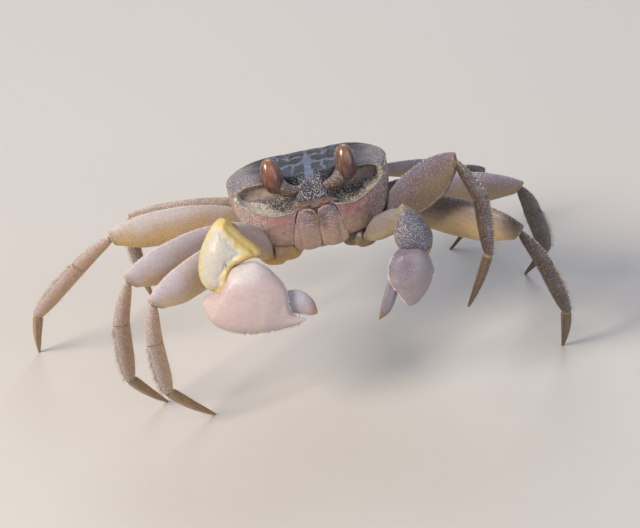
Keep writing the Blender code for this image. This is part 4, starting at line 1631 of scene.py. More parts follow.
    def rims(self) -> List[Obj]:
        """Raised edges of the orbits and the keel along each side of the back.

        Returns:
            The edges and keels.
        """
        made = []
        rows, keel_rows, front_y = 160, 200, -8.3
        ends = np.minimum(1.0, 0.35 + 6 * np.minimum(np.linspace(0, 1, rows), np.linspace(1, 0, rows)))
        keel_ends = np.minimum(1.0, 0.3 + 5 * np.minimum(np.linspace(0, 1, keel_rows) * 2,
                                                         np.linspace(1, 0, keel_rows)))
        for side in Side:
            s, tag = side.value, side.tag
            x = np.linspace(2.6, 11.25, rows)
            brow = np.stack([s * x, self.brow_y(x) - 0.06, spline(self.upper_rim, x) + 0.02], -1)
            lip = 0.045 + 0.03 * smoothstep(3.5, 8.0, x)
            made.append(self.rim(f"orbit_brow_{tag}", brow, lip * ends, self.edge_finish))
            x = x[::-1]
            edge = 0.075 + 0.015 * np.sin(x * 31)
            made.append(self.rim(f"orbit_crest_{tag}", self.orbit_edge(s, x, 0.05, 0.0), edge * ends,
                                 self.rim_finish))
            y = np.linspace(front_y, 5.5, keel_rows)
            half = spline(self.plan, np.maximum(y, self.cap_y)) * self.half_width
            ahead, knots = y < self.cap_y, (front_y, self.cap_y)
            half = np.where(ahead, np.interp(y, knots, (11.2, half[~ahead][0])), half)
            z = np.where(ahead, np.interp(y, knots, (0.95, 1.15)), spline(self.shoulder, y))
            made.append(self.rim(f"side_keel_{tag}", self.side_edge(s, y, half, z, 0.02), 0.06 * keel_ends,
                                 self.edge_finish))
        return made

    def build(self, bed: Roots) -> List[Obj]:
        """The shell, then its rims as one piece; bed takes the fine teeth of the edges.

        Args:
            bed: roots of the teeth.

        Returns:
            The shell and the rims.
        """
        rings = self.rings()
        own = rings.copy()
        masks = self.masks(own)
        rings = pushed(rings, self.relief(own))
        shell = loft("carapace_shell", self.stand(rings), self.finish, {"own": own, **masks})
        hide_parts("carapace")
        rng = np.random.default_rng(4)
        for side in Side:
            s = side.value
            edge = self.orbit_edge(s, np.linspace(3.2, 11.2, 118), 0.10, 0.04)
            bed.sow(self.stand(edge), POSE.turn(vec(0, -0.8, 0.8)), rng.uniform(0.08, 0.15, len(edge)))
            y = np.linspace(-8.0, 5.0, 120)
            half = spline(self.plan, np.maximum(y, self.cap_y)) * self.half_width
            keel = self.side_edge(s, y, half, spline(self.shoulder, y), 0.03)
            bed.sow(self.stand(keel), POSE.turn(vec(s, -0.5, 0.4)), rng.uniform(0.06, 0.11, len(keel)))
        return [shell, joined("orbit_and_side_rims", self.rims())]


# ==================================== eyes and small face parts ===================================

@dataclass
class Eye:
    """One upright eye on its short stalk, in the body's frame, mm."""

    side: Side
    cornea: Material
    stalk: Material
    lean: float = 0.0              # outward slope of the eye's long axis
    centre: Point = (5.4, -9.95, 3.15)
    radii: Point = (1.45, 1.4, 2.62)

    def globe(self, grow: float, offset: Point) -> Tuple[Array, Array]:
        """Rings of the eye's long ball from bottom to top, and its own coordinates.

        Args:
            grow: factor on the ball's radii.
            offset: shift of its middle, mm.

        Returns:
            The rings and the coordinates.
        """
        rows, cols, pole = 72, 96, 0.03
        turn = np.linspace(pole, math.pi - pole, rows)
        angle = np.arange(cols) * TAU / cols
        waist = (np.sin(turn) ** 0.92)[:, None]
        tall = -np.cos(turn)[:, None] * np.ones_like(angle)
        taper = 1 - 0.07 * tall
        unit_ball = np.stack([waist * np.cos(angle) * taper, waist * np.sin(angle) * taper, tall], -1)
        own = unit_ball * np.array(self.radii) * grow
        s = self.side.value
        x, y, z = (a + b for a, b in zip(self.centre, offset))
        return own + own[..., 2:] * vec(self.lean * s, 0, 0) + vec(s * x, y, z), own

    def build(self) -> List[Obj]:
        """Cornea, the stalk that runs up its back and the stalk's foot.

        Returns:
            The eye's pieces.
        """
        s = self.side.value
        rings, own = self.globe(1.0, (0.0, 0.0, 0.0))
        out = own[..., 0] * s
        shade = 0.7 * smoothstep(0.6, 1.4, out) + 0.62 * smoothstep(-0.7, -2.4, own[..., 2])
        cornea = loft(f"cornea_{self.side.tag}", POSE.stand(rings), self.cornea,
                      {"own": own, "shade": np.clip(shade, 0, 1)})
        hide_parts(f"eye_{self.side.tag}")
        back, own = self.globe(0.985, (-0.22, 0.28, 0.02))
        made = [loft("stalk_back", POSE.stand(back), self.stalk, even(own, own[..., 2] / 2.6))]
        rows = 60
        path = curve_through([(s * 1.5, -8.8, 0.0), (s * 2.6, -9.25, 0.25), (s * 3.5, -9.5, 0.6),
                              (s * 4.3, -9.6, 1.2), (s * 5.1, -9.6, 2.2)], rows)
        size = spline(((0, 0.5), (0.25, 0.78), (0.5, 0.98), (0.75, 1.15), (1, 1.15)),
                      np.linspace(0, 1, rows))
        rings, own, crest = tube(path, vec(0, 0, 1), size, size, 40)
        made.append(loft("stalk_foot", POSE.stand(rings), self.stalk, even(own, crest)))
        stalk = joined(f"stalk_{self.side.tag}", made)
        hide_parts(f"eyestalk_{self.side.tag}")
        return [cornea, stalk]


FACE_Y = -10.1                 # depth of the face over the mouth in the body's frame, mm


@dataclass
class MouthParts:
    """The double door over the mouth, with its palps and side whips, and the small feelers."""

    side: Side
    plate: Material
    feeler: Material
    hairs: Roots
    slope: float = 0.34

    def plane(self) -> Swept:
        """Directions across, up and out of the mouth's plane.

        Returns:
            The three directions.
        """
        across = POSE.turn(vec(1, 0, 0))
        up = POSE.turn(unit(vec(0, -self.slope, 1)))
        return across, up, np.cross(across, up)

    def strand(self, count: int, *points: Point) -> Array:
        """Smooth path through (across, up, out) points that lie in front of the upper door plate.

        Args:
            count: number of points along it.
            points: places it passes, mm.

        Returns:
            The path.
        """
        across, up, outward = self.plane()
        middle = POSE.stand(vec(0, FACE_Y + 0.1, -3.4)) + outward * 0.45
        return curve_through(middle + np.array(points) @ np.stack([self.side.value * across, up, outward]),
                             count)

    def door(self, name: str, outline: Rows, z: float,
             front: float, out: float) -> Obj:
        """One plate of the door; outline is across and up from the middle line at height z.

        Args:
            name: name of the plate.
            outline: its edge.
            z: height of its middle, mm.
            front: how far it swells in front.
            out: how far it stands forward, mm.

        Returns:
            The plate.
        """
        s = self.side.value
        across, up, outward = self.plane()
        y = FACE_Y + self.slope * (-2.2 - z) + 0.30
        centre = POSE.stand(vec(0, y, z)) + outward * out
        flipped = [(s * a, b) for a, b in (outline if s > 0 else outline[::-1])]
        rings, own, rim = Pillow(flipped, centre, across, up, front, 0.35, 4.0, 84, 44).rings()
        crest = np.clip((own[..., 1] + z + 5.6) / 2.6 + 0.3 * roughness_field(own, 1.2, 4.0), -1, 1)
        ridge = bell(s * own[..., 0], 1.9, 0.9) - 0.7 * bell(s * own[..., 0], 2.9, 0.35)
        rings = rings + (0.12 * ridge * smoothstep(0.0, 0.3, own[..., 2]))[..., None] * outward
        grain = (smoothstep(-5.2, -3.4, own[..., 1] + z) * smoothstep(0.0, 0.3, own[..., 2])
                 * smoothstep(0.95, 0.8, rim))
        return loft(name, rings, self.plate, even(own, crest, grain=0.75 * grain))

    def build(self) -> List[Obj]:
        """Door plates, palp, whip and feelers of one side.

        Returns:
            The pieces.
        """
        s, tag = self.side.value, self.side.tag
        lower = self.door("ischium_door", (
            (0.10, 1.5), (1.6, 1.62), (3.2, 1.45), (3.72, -0.4), (4.0, -2.2), (3.5, -3.2), (2.0, -3.6),
            (0.8, -3.5), (0.10, -2.9)), -5.6, 0.36, 0.12)
        upper = self.door("merus_door", (
            (0.2, 0.50), (0.8, 0.92), (1.7, 1.02), (2.55, 0.80), (2.92, 0.0), (3.15, -0.86), (1.6, -0.95),
            (0.12, -0.9), (0.12, 0.0)), -3.35, 0.36, 0.14)
        across, up, outward = self.plane()
        parts = [lower, upper]
        palp = self.strand(70, (2.0, 1.0, -0.3), (1.35, 1.12, -0.12), (0.7, 0.95, -0.06), (0.3, 0.4, -0.04),
                           (0.12, -0.6, -0.08), (0.10, -1.9, -0.16))
        size = 0.62 * spline(((0, 0.3), (0.25, 0.34), (0.34, 0.22), (0.42, 0.28), (0.62, 0.2), (0.72, 0.22),
                              (1, 0.1)), np.linspace(0, 1, len(palp)))
        rings, own, crest = tube(palp, outward, size, size * 0.8, 28)
        parts.append(loft("palp", rings, self.plate, even(own, crest * 0.4)))
        rng = np.random.default_rng(31 + s)
        hairs = 46
        for start in (0.35, 0.6):
            at = (rng.uniform(start, 0.98, hairs) * (len(palp) - 1)).astype(int)
            aims = -s * across * 0.7 - up * 0.9 + outward * 0.5 + rng.normal(0, 0.2, (hairs, 3))
            self.hairs.sow(palp[at], aims, rng.uniform(0.35, 0.8, hairs),
                           (0.82, 0.1 + 0.02 * (s + 1) + 0.05 * start))
        whip = self.strand(60, (3.8, -4.6, -0.95), (3.75, -2.6, -0.85), (3.4, -0.6, -0.75), (3.0, 0.5, -0.7),
                           (2.5, 1.1, -0.7))
        size = spline(((0, 0.17), (0.4, 0.15), (0.8, 0.12), (1, 0.06)), np.linspace(0, 1, len(whip)))
        rings, own, crest = tube(whip, outward, size, size, 24)
        parts.append(loft("whip", rings, self.plate, even(own, crest * 0.4)))
        door = joined(f"mouth_door_{tag}", parts)
        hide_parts(f"mouth_plate_{tag}")
        return [door, self.feelers()]

    def feelers(self) -> Obj:
        """The jointed second antenna and the folded first one in its pit.

        Returns:
            Both, as one piece.
        """
        s = self.side.value
        routes = (([(2.5, -10.0, -1.75), (2.8, -10.25, -1.75), (3.1, -10.42, -1.8), (3.5, -10.5, -1.95)],
                   ((0, 0.24), (0.3, 0.22), (0.42, 0.12), (0.6, 0.08), (1, 0.03)), 12),
                  ([(0.7, -10.2, -1.95), (1.3, -10.5, -1.9), (1.9, -10.5, -1.85), (1.4, -10.62, -1.75),
                    (0.75, -10.7, -1.7)], ((0, 0.2), (0.45, 0.2), (0.6, 0.14), (1, 0.07)), 18))
        parts, rows = [], 90
        for points, sizes, beads in routes:
            path = curve_through([(s * x, y, z) for x, y, z in points], rows)
            u = np.linspace(0, 1, rows)
            size = spline(sizes, u) * (1 + 0.08 * np.cos(u * beads * TAU))
            rings, own, crest = tube(POSE.stand(path), vec(0, 0, 1), size, size, 20)
            parts.append(loft("feeler", rings, self.feeler, even(own, crest)))
        feeler = joined(f"feelers_{self.side.tag}", parts)
        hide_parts(f"feeler_{self.side.tag}")
        return feeler


# ==================================== underside ===================================================

@dataclass
class Underside:
    """The breast plates and the folded tail, in the body's frame, mm."""

    finish: Material
    hairs: Roots

    def breast(self) -> Obj:
        """The sternum, scored between the legs and down the middle.

        Returns:
            The plate.
        """
        stations = ((-5.4, 3.2, -8.0, -8.7), (-3.2, 6.2, -6.9, -9.1), (0.6, 7.5, -6.4, -9.2),
                    (4.2, 7.3, -5.5, -8.6), (7.2, 6.0, -4.4, -7.4), (9.0, 3.6, -3.6, -5.9))
        y = np.linspace(-5.9, 9.5, 150)
        half, top, low = (spline([(row[0], row[k]) for row in stations], y) for k in (1, 2, 3))
        ends = np.sqrt(np.clip(1 - np.abs((y - 1.8) / 7.75) ** 6, 0.02, 1))
        path = np.stack([np.zeros_like(y), y, (top + low) / 2], -1)
        tall = (top - low) / 2 * ends
        rings, own, crest = tube(path, vec(0, 0, 1), tall, half * ends, 160, 3.0)
        side, yy = np.abs(rings[..., 0]), rings[..., 1]
        under = smoothstep(0.2, -0.3, crest)
        score = sum(bell(yy, at + 0.12 * side, 0.16) for at in (-3.6, -1.4, 2.1, 5.4))
        score = score * smoothstep(1.6, 2.4, side)
        trough = bell(rings[..., 0], 0, 1.7) * smoothstep(-5.0, -2.5, yy)
        domes = 0.18 * np.cos((yy - 0.1 * side + 0.4) * TAU / 3.4) * smoothstep(1.8, 3.5, side)
        rings = pushed(rings, under * (-0.42 * score - 0.35 * trough + domes))
        plate = loft("breast_shell", POSE.stand(rings), self.finish, even(own, crest * 0.6))
        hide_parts("breast_plate")
        return plate

    def tail(self) -> Obj:
        """Seven overlapping segments folded round the rear and forward under the breast.

        Returns:
            The flap.
        """
        count, step, lap, hairs = 7, 40, 2, 30
        rows = count * step + 1
        path = curve_through([(0, 11.1, -1.6), (0, 10.9, -3.6), (0, 10.2, -5.6), (0, 8.6, -7.6),
                              (0, 5.6, -9.2), (0, 2.0, -9.95), (0, -1.6, -9.95), (0, -3.6, -9.8)], rows)
        width = spline(((0, 3.6), (0.14, 3.5), (0.3, 3.3), (0.45, 3.0), (0.62, 2.6), (0.8, 2.1), (0.93, 1.4),
                        (1, 0.5)), np.linspace(0, 1, rows))
        made = []
        for k in range(count):
            piece = slice(k * step, (k + 1) * step + lap)
            route, half = path[piece], width[piece]
            u = np.linspace(0, 1, len(route))
            thick = 0.36 + 0.10 * bell(u, 0.88, 0.12)
            ends = np.sqrt(np.clip(1 - np.abs(2 * u - 1) ** 8, 0.04, 1))
            rings, own, crest = tube(route, vec(1, 0, 0), half * ends, thick * ends, 72, 2.8)
            rings = pushed(rings, 0.10 * bell(own[..., 1], 0, 0.7) * np.sin(math.pi * u)[:, None])
            made.append(loft("tail", POSE.stand(rings), self.finish, even(own, np.zeros_like(crest))))
            rng = np.random.default_rng(60 + k)
            at = (rng.uniform(0.1, 0.95, hairs) * (len(route) - 1)).astype(int)
            for s in (-1, 1):
                spot = np.stack([s * half[at] * 0.97, route[at, 1], route[at, 2]], -1)
                self.hairs.sow(POSE.stand(spot), POSE.turn(vec(s, 0, 0)) + rng.normal(0, 0.3, (hairs, 3)),
                               rng.uniform(0.3, 0.6, hairs), (0.82, 0.4 + 0.02 * k + 0.008 * s))
        tail = joined("tail_segments", made)
        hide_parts("tail_flap")
        return tail


# ==================================== claws =======================================================

@dataclass
class Claw:
    """One claw, by the places of its joints in the standing frame, mm."""

    side: Side
    finishes: Dict[str, Material]
    spines: Roots
    teeth: Roots
    face: Point
    shoulder: Point
    elbow: Point
    arm: float
    carpus_centre: Point
    carpus_outline: Rows
    carpus_domes: Tuple[float, float]
    palm_centre: Point
    palm_upper: Rows
    palm_lower: Rows
    palm_front: Rows
    palm_back: Rows
    finger_centre: Point
    finger_upper: Rows
    finger_lower: Rows
    finger_dome: Rows
    ruffle: Sequence[Point]
    wrist: Tuple[float, float]
    knuckle: Tuple[float, float]

    def basis(self) -> Swept:
        """Directions across, up and out of the claw's plane.

        Returns:
            The three directions.
        """
        out = unit(np.array(self.face, float))
        across = unit(vec(-out[1], out[0], 0))
        return across, np.cross(out, across), out

    def key(self, name: str) -> Material:
        """Finish of this side's claw."""
        # the left claw's finishes carry painted shade on top of their own darker colour
        return self.finishes[f"{name}_{self.side.tag}"]

    def merus(self) -> Obj:
        """The arm, three-edged, from the body to the carpus.

        Returns:
            The arm.
        """
        start, end = np.array(self.shoulder), np.array(self.elbow)
        rows, cols = 70, 56
        u = np.linspace(0, 1, rows)
        route = curve_through([start, start + (end - start) * 0.5 + vec(0, -0.4, 0.3), end], rows)
        half = self.arm / 2 * spline(((0, 0.5), (0.15, 0.75), (0.45, 1.0), (0.75, 1.02), (0.93, 0.8),
                                      (1, 0.6)), u)
        rings, own, crest = tube(route, vec(0, 0, 1), half, half * 0.85, cols, 2.3)
        angle = np.arange(cols) * TAU / cols
        rings = pushed(rings, 0.10 * self.arm * np.cos(3 * angle)[None] * np.sin(math.pi * u)[:, None])
        span = np.broadcast_to(u[:, None], crest.shape)
        grain = np.clip(0.5 + 0.5 * crest, 0, 1) * 0.6
        arm = loft(f"claw_{self.side.tag}_merus_shell", rings, self.key("arm"),
                   {"own": own, "crest": crest, "span": span, "grain": grain})
        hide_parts(f"claw_{self.side.tag}_merus")
        rng = np.random.default_rng(70 + self.side.value)
        at = rows_at(0.1, 0.9, 16, len(rings))
        for column in (0, 19, 37):
            reach = rng.uniform(0.1, 0.2, len(at))
            self.spines.sow(rings[at, column], unit(rings[at, column] - route[at]), reach)
        return arm

    def carpus(self) -> Obj:
        """The wrist plate with its inner spine.

        Returns:
            The wrist plate.
        """
        across, up, _ = self.basis()
        front, back = self.carpus_domes
        rings, own, rim = Pillow(self.carpus_outline, np.array(self.carpus_centre), across, up, front, back,
                                 2.3, 130, 72).rings()
        facing = smoothstep(0.0, 0.6, own[..., 2])
        boss = bell(np.hypot(own[..., 0] + 1.2, own[..., 1]), 0, 1.6)
        keel = 0.22 * bell(rim, 1.0, 0.06) + 0.5 * facing * boss
        rings = pushed(rings, keel + 0.05 * roughness_field(rings, 1.0, 5.0))
        crest = 0.2 + 0.8 * facing * (1 - smoothstep(0.80, 0.97, rim)) - 0.75 * smoothstep(0.90, 1.0, rim)
        if self.side is Side.RIGHT:
            border = ((-0.4, -6.2), (0.5, -5.2), (0.6, -3.6), (1.5, -2.1), (3.0, -1.2), (4.8, -0.5),
                      (3.5, 0.9), (2.0, 2.4), (0.9, 3.8))
            near = nearness(own[..., :2], border) + 0.3 * roughness_field(own, 0.8, 3.0)
            crest = crest + 0.5 * smoothstep(0.90, 1.0, rim) * smoothstep(0.5, 2.0, near)
            crest = crest - 1.7 * smoothstep(1.5, 0.6, near) + 0.45 * bell(near, 0.45, 0.3) * facing
            rings = pushed(rings, facing * (0.22 * bell(near, 0.7, 0.35) - 0.16 * bell(near, 1.45, 0.25)))
        grain = facing * (1 - smoothstep(0.86, 0.95, rim)) * np.clip(crest + 0.6, 0, 1)
        plate = loft(f"claw_{self.side.tag}_carpus_shell", rings, self.key("wrist"),
                     even(own, crest, grain=grain))
        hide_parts(f"claw_{self.side.tag}_carpus")
        return plate

    def palm(self) -> Obj:
        """The palm with its fixed finger, granular above, its lower edge serrate, with a rasp inside.

        Returns:
            The palm.
        """
        across, up, out = self.basis()
        right, rows, cols = self.side is Side.RIGHT, 170, 110
        rings, own, crest = Shield(self.palm_upper, self.palm_lower, np.array(self.palm_centre), across, up,
                                   self.palm_front, self.palm_back, rows, cols, 2.3).rings()
        rings = pushed(rings, 0.06 * roughness_field(rings, 1.6, 9.0))
        span = np.broadcast_to(np.linspace(0, 1, rows)[:, None], crest.shape)
        a, b, lift = own[..., 0], own[..., 1], own[..., 2]
        wave = 0.5 * roughness_field(own, 1.5, 2.0)
        if right:
            patch = smoothstep(0.4, 5.6, b + 0.25 * a * (a < 0) + 1.6 * wave) * smoothstep(5.6, 1.0, a)
        else:
            patch = 0.55 * smoothstep(1.6, -1.2, a + wave) * smoothstep(-1.6, 1.2, b + wave)
        grain = patch * (0.3 + 0.7 * smoothstep(-0.5, 0.5, lift))
        level = np.clip(1.8 * patch - 0.8 - 0.5 * smoothstep(0.7, 1.0, span), -1, 1)
        palm = loft(f"claw_{self.side.tag}_palm_shell", rings, self.key("palm"),
                    {"own": own, "crest": level, "span": 0.1 + 0.8 * span, "grain": grain})
        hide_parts(f"claw_{self.side.tag}_palm")
        rng = np.random.default_rng(80 + self.side.value)
        under, rasp = 55, 83       # columns of the lower edge and of the ridges on the inner face
        at = rows_at(0.14, 0.93, 64, len(rings))
        self.spines.sow(rings[at, under], rings[at, under] - rings[at].mean(axis=1),
                        rng.uniform(0.22, 0.38, len(at)) * (1.35 if right else 1.0))
        self.bite(rings, 0, self.gape(), (0.3, 0.5, 0.34, 0.62, 0.4, 0.52, 0.36, 0.3), 0.1)
        ridge = rings[rows_at(0.3, 0.5, 22, len(rings)), rasp]
        self.spines.sow(ridge + out * 0.05, -np.broadcast_to(out, ridge.shape),
                        np.full(len(ridge), 0.3 * self.tooth_scale()))
        return palm

    def bite(self, rings: Array, column: int, share: Tuple[float, float], reaches: Sequence[float],
             sunk: float) -> None:
        """Sow teeth along a share of one column, sunk mm into it.

        Args:
            rings: rings that bear the teeth.
            column: number of the column.
            share: first and last place, as shares of the rows.
            reaches: height of each tooth, mm.
            sunk: how deep the roots lie.
        """
        at = rows_at(*share, len(reaches), len(rings))
        root = rings[at, column]
        aim = root - rings[at].mean(axis=1)
        self.teeth.sow(root - unit(aim) * sunk, aim, np.array(reaches) * self.tooth_scale())

    def gape(self) -> Tuple[float, float]:
        """Where along the palm's edge the fixed finger bears its teeth."""
        return (0.80, 0.97) if self.side is Side.RIGHT else (0.78, 0.96)

    def tooth_scale(self) -> float:
        """Teeth of the larger claw are the larger ones."""
        return 1.0 if self.side is Side.RIGHT else 0.55

    def finger(self) -> Obj:
        """The movable finger, curved and ridged, with its teeth.

        Returns:
            The finger.
        """
        across, up, _ = self.basis()
        rows, cols = 90, 60
        rings, own, crest = Shield(self.finger_upper, self.finger_lower, np.array(self.finger_centre), across,
                                   up, self.finger_dome, self.finger_dome, rows, cols, 2.1).rings()
        angle = np.arange(cols) * TAU / cols
        u = np.linspace(0, 1, rows)
        rings = pushed(rings, 0.06 * np.cos(5 * angle)[None] * (1 - u[:, None] ** 2))
        span = np.broadcast_to(u[:, None], crest.shape)
        level = 0.9 - 1.7 * smoothstep(0.45, 1.0, span)
        finger = loft(f"claw_{self.side.tag}_finger_shell", rings, self.key("finger"),
                      {"own": own, "crest": level, "span": 0.1 + 0.8 * span})
        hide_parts(f"claw_{self.side.tag}_finger")
        self.bite(rings, 30 if self.side is Side.RIGHT else 0, (0.35, 0.92),
                  (0.3, 0.4, 0.55, 0.34, 0.45, 0.3, 0.36, 0.24), 0.08)
        return finger

    def sleeves(self) -> Obj:
        """Soft golden membranes at elbow, wrist and knuckle, and the ruffle along the wrist plate.

        Returns:
            The membranes and the ruffle, as one piece.
        """
        across, up, out = self.basis()
        centre = np.array(self.carpus_centre)
        palm = np.array(self.palm_centre) + self.palm_upper[3][0] * across * 0.8
        knuckle = np.array(self.finger_centre) + self.finger_upper[0][0] * across + (
            self.finger_upper[0][1] + self.finger_lower[0][1]) / 2 * up
        towards = unit(knuckle - np.array(self.palm_centre))
        elbow = np.array(self.elbow)
        routes = (((centre - out * 0.5, (centre + palm) / 2 - out * 0.5, palm + (palm - centre) * 0.1),
                   self.wrist),
                  ((knuckle - towards * 0.9, knuckle, knuckle + towards * 0.7), self.knuckle),
                  ((elbow - (centre - elbow) * 0.3, elbow, centre - (centre - elbow) * 0.4),
                   (self.arm * 0.22, self.arm * 0.22)))
        parts, rows, frill_rows = [], 30, 120
        soft = "membrane" if self.side is Side.RIGHT else "joint"
        for (points, (tall, deep)), finish in zip(routes, (soft, soft, "joint")):
            path = curve_through(points, rows)
            u = np.linspace(-1, 1, rows)
            folds = 1 + 0.04 * np.cos(u * 16) - 0.3 * np.abs(u) ** 4
            rings, _, _ = tube(path, out, deep * folds, tall * folds, 36)
            parts.append(loft("sleeve", rings, self.finishes[finish]))
        path = centre + curve_through(self.ruffle, frill_rows) @ np.stack([across, up, out])
        u = np.linspace(0, 1, frill_rows)
        frill = 0.30 * (1 + 0.22 * np.cos(u * 70) + 0.12 * np.cos(u * 31))
        frill = frill * np.sin(math.pi * np.clip(u, 0.04, 0.97)) ** 0.4
        rings, _, _ = tube(path, out, frill, frill * 1.3, 24)
        parts.append(loft("ruffle", rings, self.finishes[soft]))
        return joined(f"claw_{self.side.tag}_membranes", parts)

    def coxa(self) -> Obj:
        """The claw's rounded first joints between the breast plate and the arm.

        Returns:
            The joints, as one piece.
        """
        s = self.side.value
        start = POSE.stand(vec(s * 3.6, -4.8, -7.7))
        shoulder = np.array(self.shoulder)
        inward = unit(np.array(self.elbow) - shoulder)
        rows = 60
        path = curve_through([start, start * 0.55 + shoulder * 0.45 + vec(0, -0.2, -0.5),
                              shoulder - inward * 0.1, shoulder + inward * 0.8], rows)
        u = np.linspace(0, 1, rows)
        size = self.arm / 2 * spline(((0, 0.95), (0.3, 1.15), (0.5, 0.9), (0.62, 1.0), (0.85, 0.85),
                                      (1, 0.5)), u)
        rings, own, crest = tube(path, vec(0, 0, 1), size, size, 48)
        return loft(f"claw_{self.side.tag}_coxa", rings, self.key("base"), even(own, crest))

    def build(self) -> List[Obj]:
        """All pieces of the claw."""
        return [self.coxa(), self.merus(), self.carpus(), self.palm(), self.finger(), self.sleeves()]


def right_claw() -> dict:
    """Sizes of the larger claw.

    Returns:
        Fields of its Claw.
    """
    return dict(
        side=Side.RIGHT, face=(-0.1, -0.94, 0.34), shoulder=(-7.0, -9.3, 22.3), elbow=(-12.1, -13.8, 30.2),
        arm=3.8, carpus_centre=(-13.3, -16.6, 28.8), carpus_domes=(2.3, 2.2),
        carpus_outline=((0.0, 4.6), (-1.5, 3.3), (-2.9, 0.5), (-3.6, -2.4), (-3.2, -4.5), (-1.8, -5.7),
                        (-0.3, -6.3), (0.7, -5.3), (0.7, -3.6), (1.6, -2.0), (3.2, -1.1), (4.9, -0.6),
                        (4.4, 0.3), (2.9, 1.7), (1.25, 3.5)),
        palm_centre=(-11.0, -21.0, 22.4),
        palm_upper=((-6.1, 0.5), (-5.85, 1.3), (-4.7, 1.8), (-3.5, 2.2), (-2.7, 3.5), (-1.6, 5.3),
                    (1.3, 6.15), (3.3, 5.2), (5.0, 3.3), (5.9, 1.4), (5.9, -0.5), (6.4, -1.7),
                    (7.3, -2.2), (8.25, -2.6)),
        palm_lower=((-6.1, 0.3), (-5.95, -0.7), (-5.4, -1.9), (-4.4, -2.9), (-3.0, -3.6), (-1.5, -4.0),
                    (0.3, -4.2), (1.85, -4.2), (3.4, -4.0), (4.8, -3.75), (6.2, -3.45), (7.4, -3.15),
                    (8.3, -2.75)),
        palm_front=((0, 0.3), (0.06, 1.2), (0.2, 2.5), (0.4, 2.9), (0.6, 2.4), (0.75, 1.5), (0.88, 0.9),
                    (1, 0.1)),
        palm_back=((0, 0.3), (0.06, 1.0), (0.2, 2.0), (0.4, 2.3), (0.6, 1.9), (0.75, 1.3), (0.88, 0.8),
                   (1, 0.1)),
        finger_centre=(-3.5, -20.6, 21.4),
        finger_upper=((-2.3, 1.4), (-1.3, 1.75), (-0.2, 1.75), (0.9, 1.2), (1.9, 0.1), (2.4, -1.4)),
        finger_lower=((-2.4, -0.7), (-1.5, -1.5), (-0.4, -1.6), (0.6, -1.8), (1.4, -2.0), (2.3, -1.85)),
        finger_dome=((0, 0.7), (0.15, 1.2), (0.45, 1.1), (0.8, 0.6), (1, 0.08)),
        ruffle=((4.6, -0.5, 0.2), (3.4, -0.6, 0.6), (2.3, -0.8, 0.9), (1.5, -1.6, 1.1), (1.0, -3.0, 1.0),
                (0.4, -4.3, 0.8), (-0.2, -5.3, 0.4)),
        wrist=(1.2, 1.1), knuckle=(0.95, 1.0))


def left_claw() -> dict:
    """Sizes of the smaller claw.

    Returns:
        Fields of its Claw.
    """
    return dict(
        side=Side.LEFT, face=(0.1, -0.97, 0.2), shoulder=(7.4, -9.2, 23.4), elbow=(12.7, -14.4, 29.8),
        arm=3.2, carpus_centre=(13.3, -16.4, 28.0), carpus_domes=(1.9, 1.7),
        carpus_outline=((-1.2, 4.3), (-2.1, 2.5), (-2.3, 0.4), (-1.9, -1.6), (-0.5, -3.0), (1.9, -3.0),
                        (2.6, -0.9), (2.1, 1.1), (0.9, 3.0), (-0.4, 4.1)),
        palm_centre=(12.4, -19.2, 23.0),
        palm_upper=((-0.4, 3.9), (1.2, 3.8), (2.5, 3.1), (3.2, 1.6), (3.2, -0.2), (2.7, -1.9), (1.9, -3.2),
                    (0.8, -4.3), (-0.5, -4.9)),
        palm_lower=((-0.8, 3.85), (-1.8, 3.4), (-2.6, 2.4), (-2.95, 1.0), (-2.95, -0.4), (-2.4, -1.7),
                    (-1.9, -2.6), (-1.4, -3.7), (-0.65, -4.9)),
        palm_front=((0, 0.4), (0.1, 1.4), (0.4, 2.1), (0.7, 1.3), (0.9, 0.6), (1, 0.1)),
        palm_back=((0, 0.4), (0.1, 1.3), (0.4, 1.7), (0.7, 1.1), (0.9, 0.5), (1, 0.1)),
        finger_centre=(8.8, -19.4, 18.8),
        finger_upper=((1.9, 2.7), (1.75, 1.6), (1.3, 0.4), (0.8, -0.7), (0.0, -1.8), (-1.4, -2.6)),
        finger_lower=((0.5, 3.1), (0.1, 2.2), (-0.4, 1.1), (-0.8, 0.0), (-1.2, -1.2), (-1.5, -2.55)),
        finger_dome=((0, 0.5), (0.2, 0.8), (0.6, 0.55), (1, 0.08)),
        ruffle=((2.2, -2.2, 1.0), (1.4, -2.9, 1.1), (0.4, -3.1, 1.1), (-0.5, -2.7, 0.9)),
        wrist=(1.0, 0.9), knuckle=(0.6, 0.6))


# ==================================== the studio ==================================================

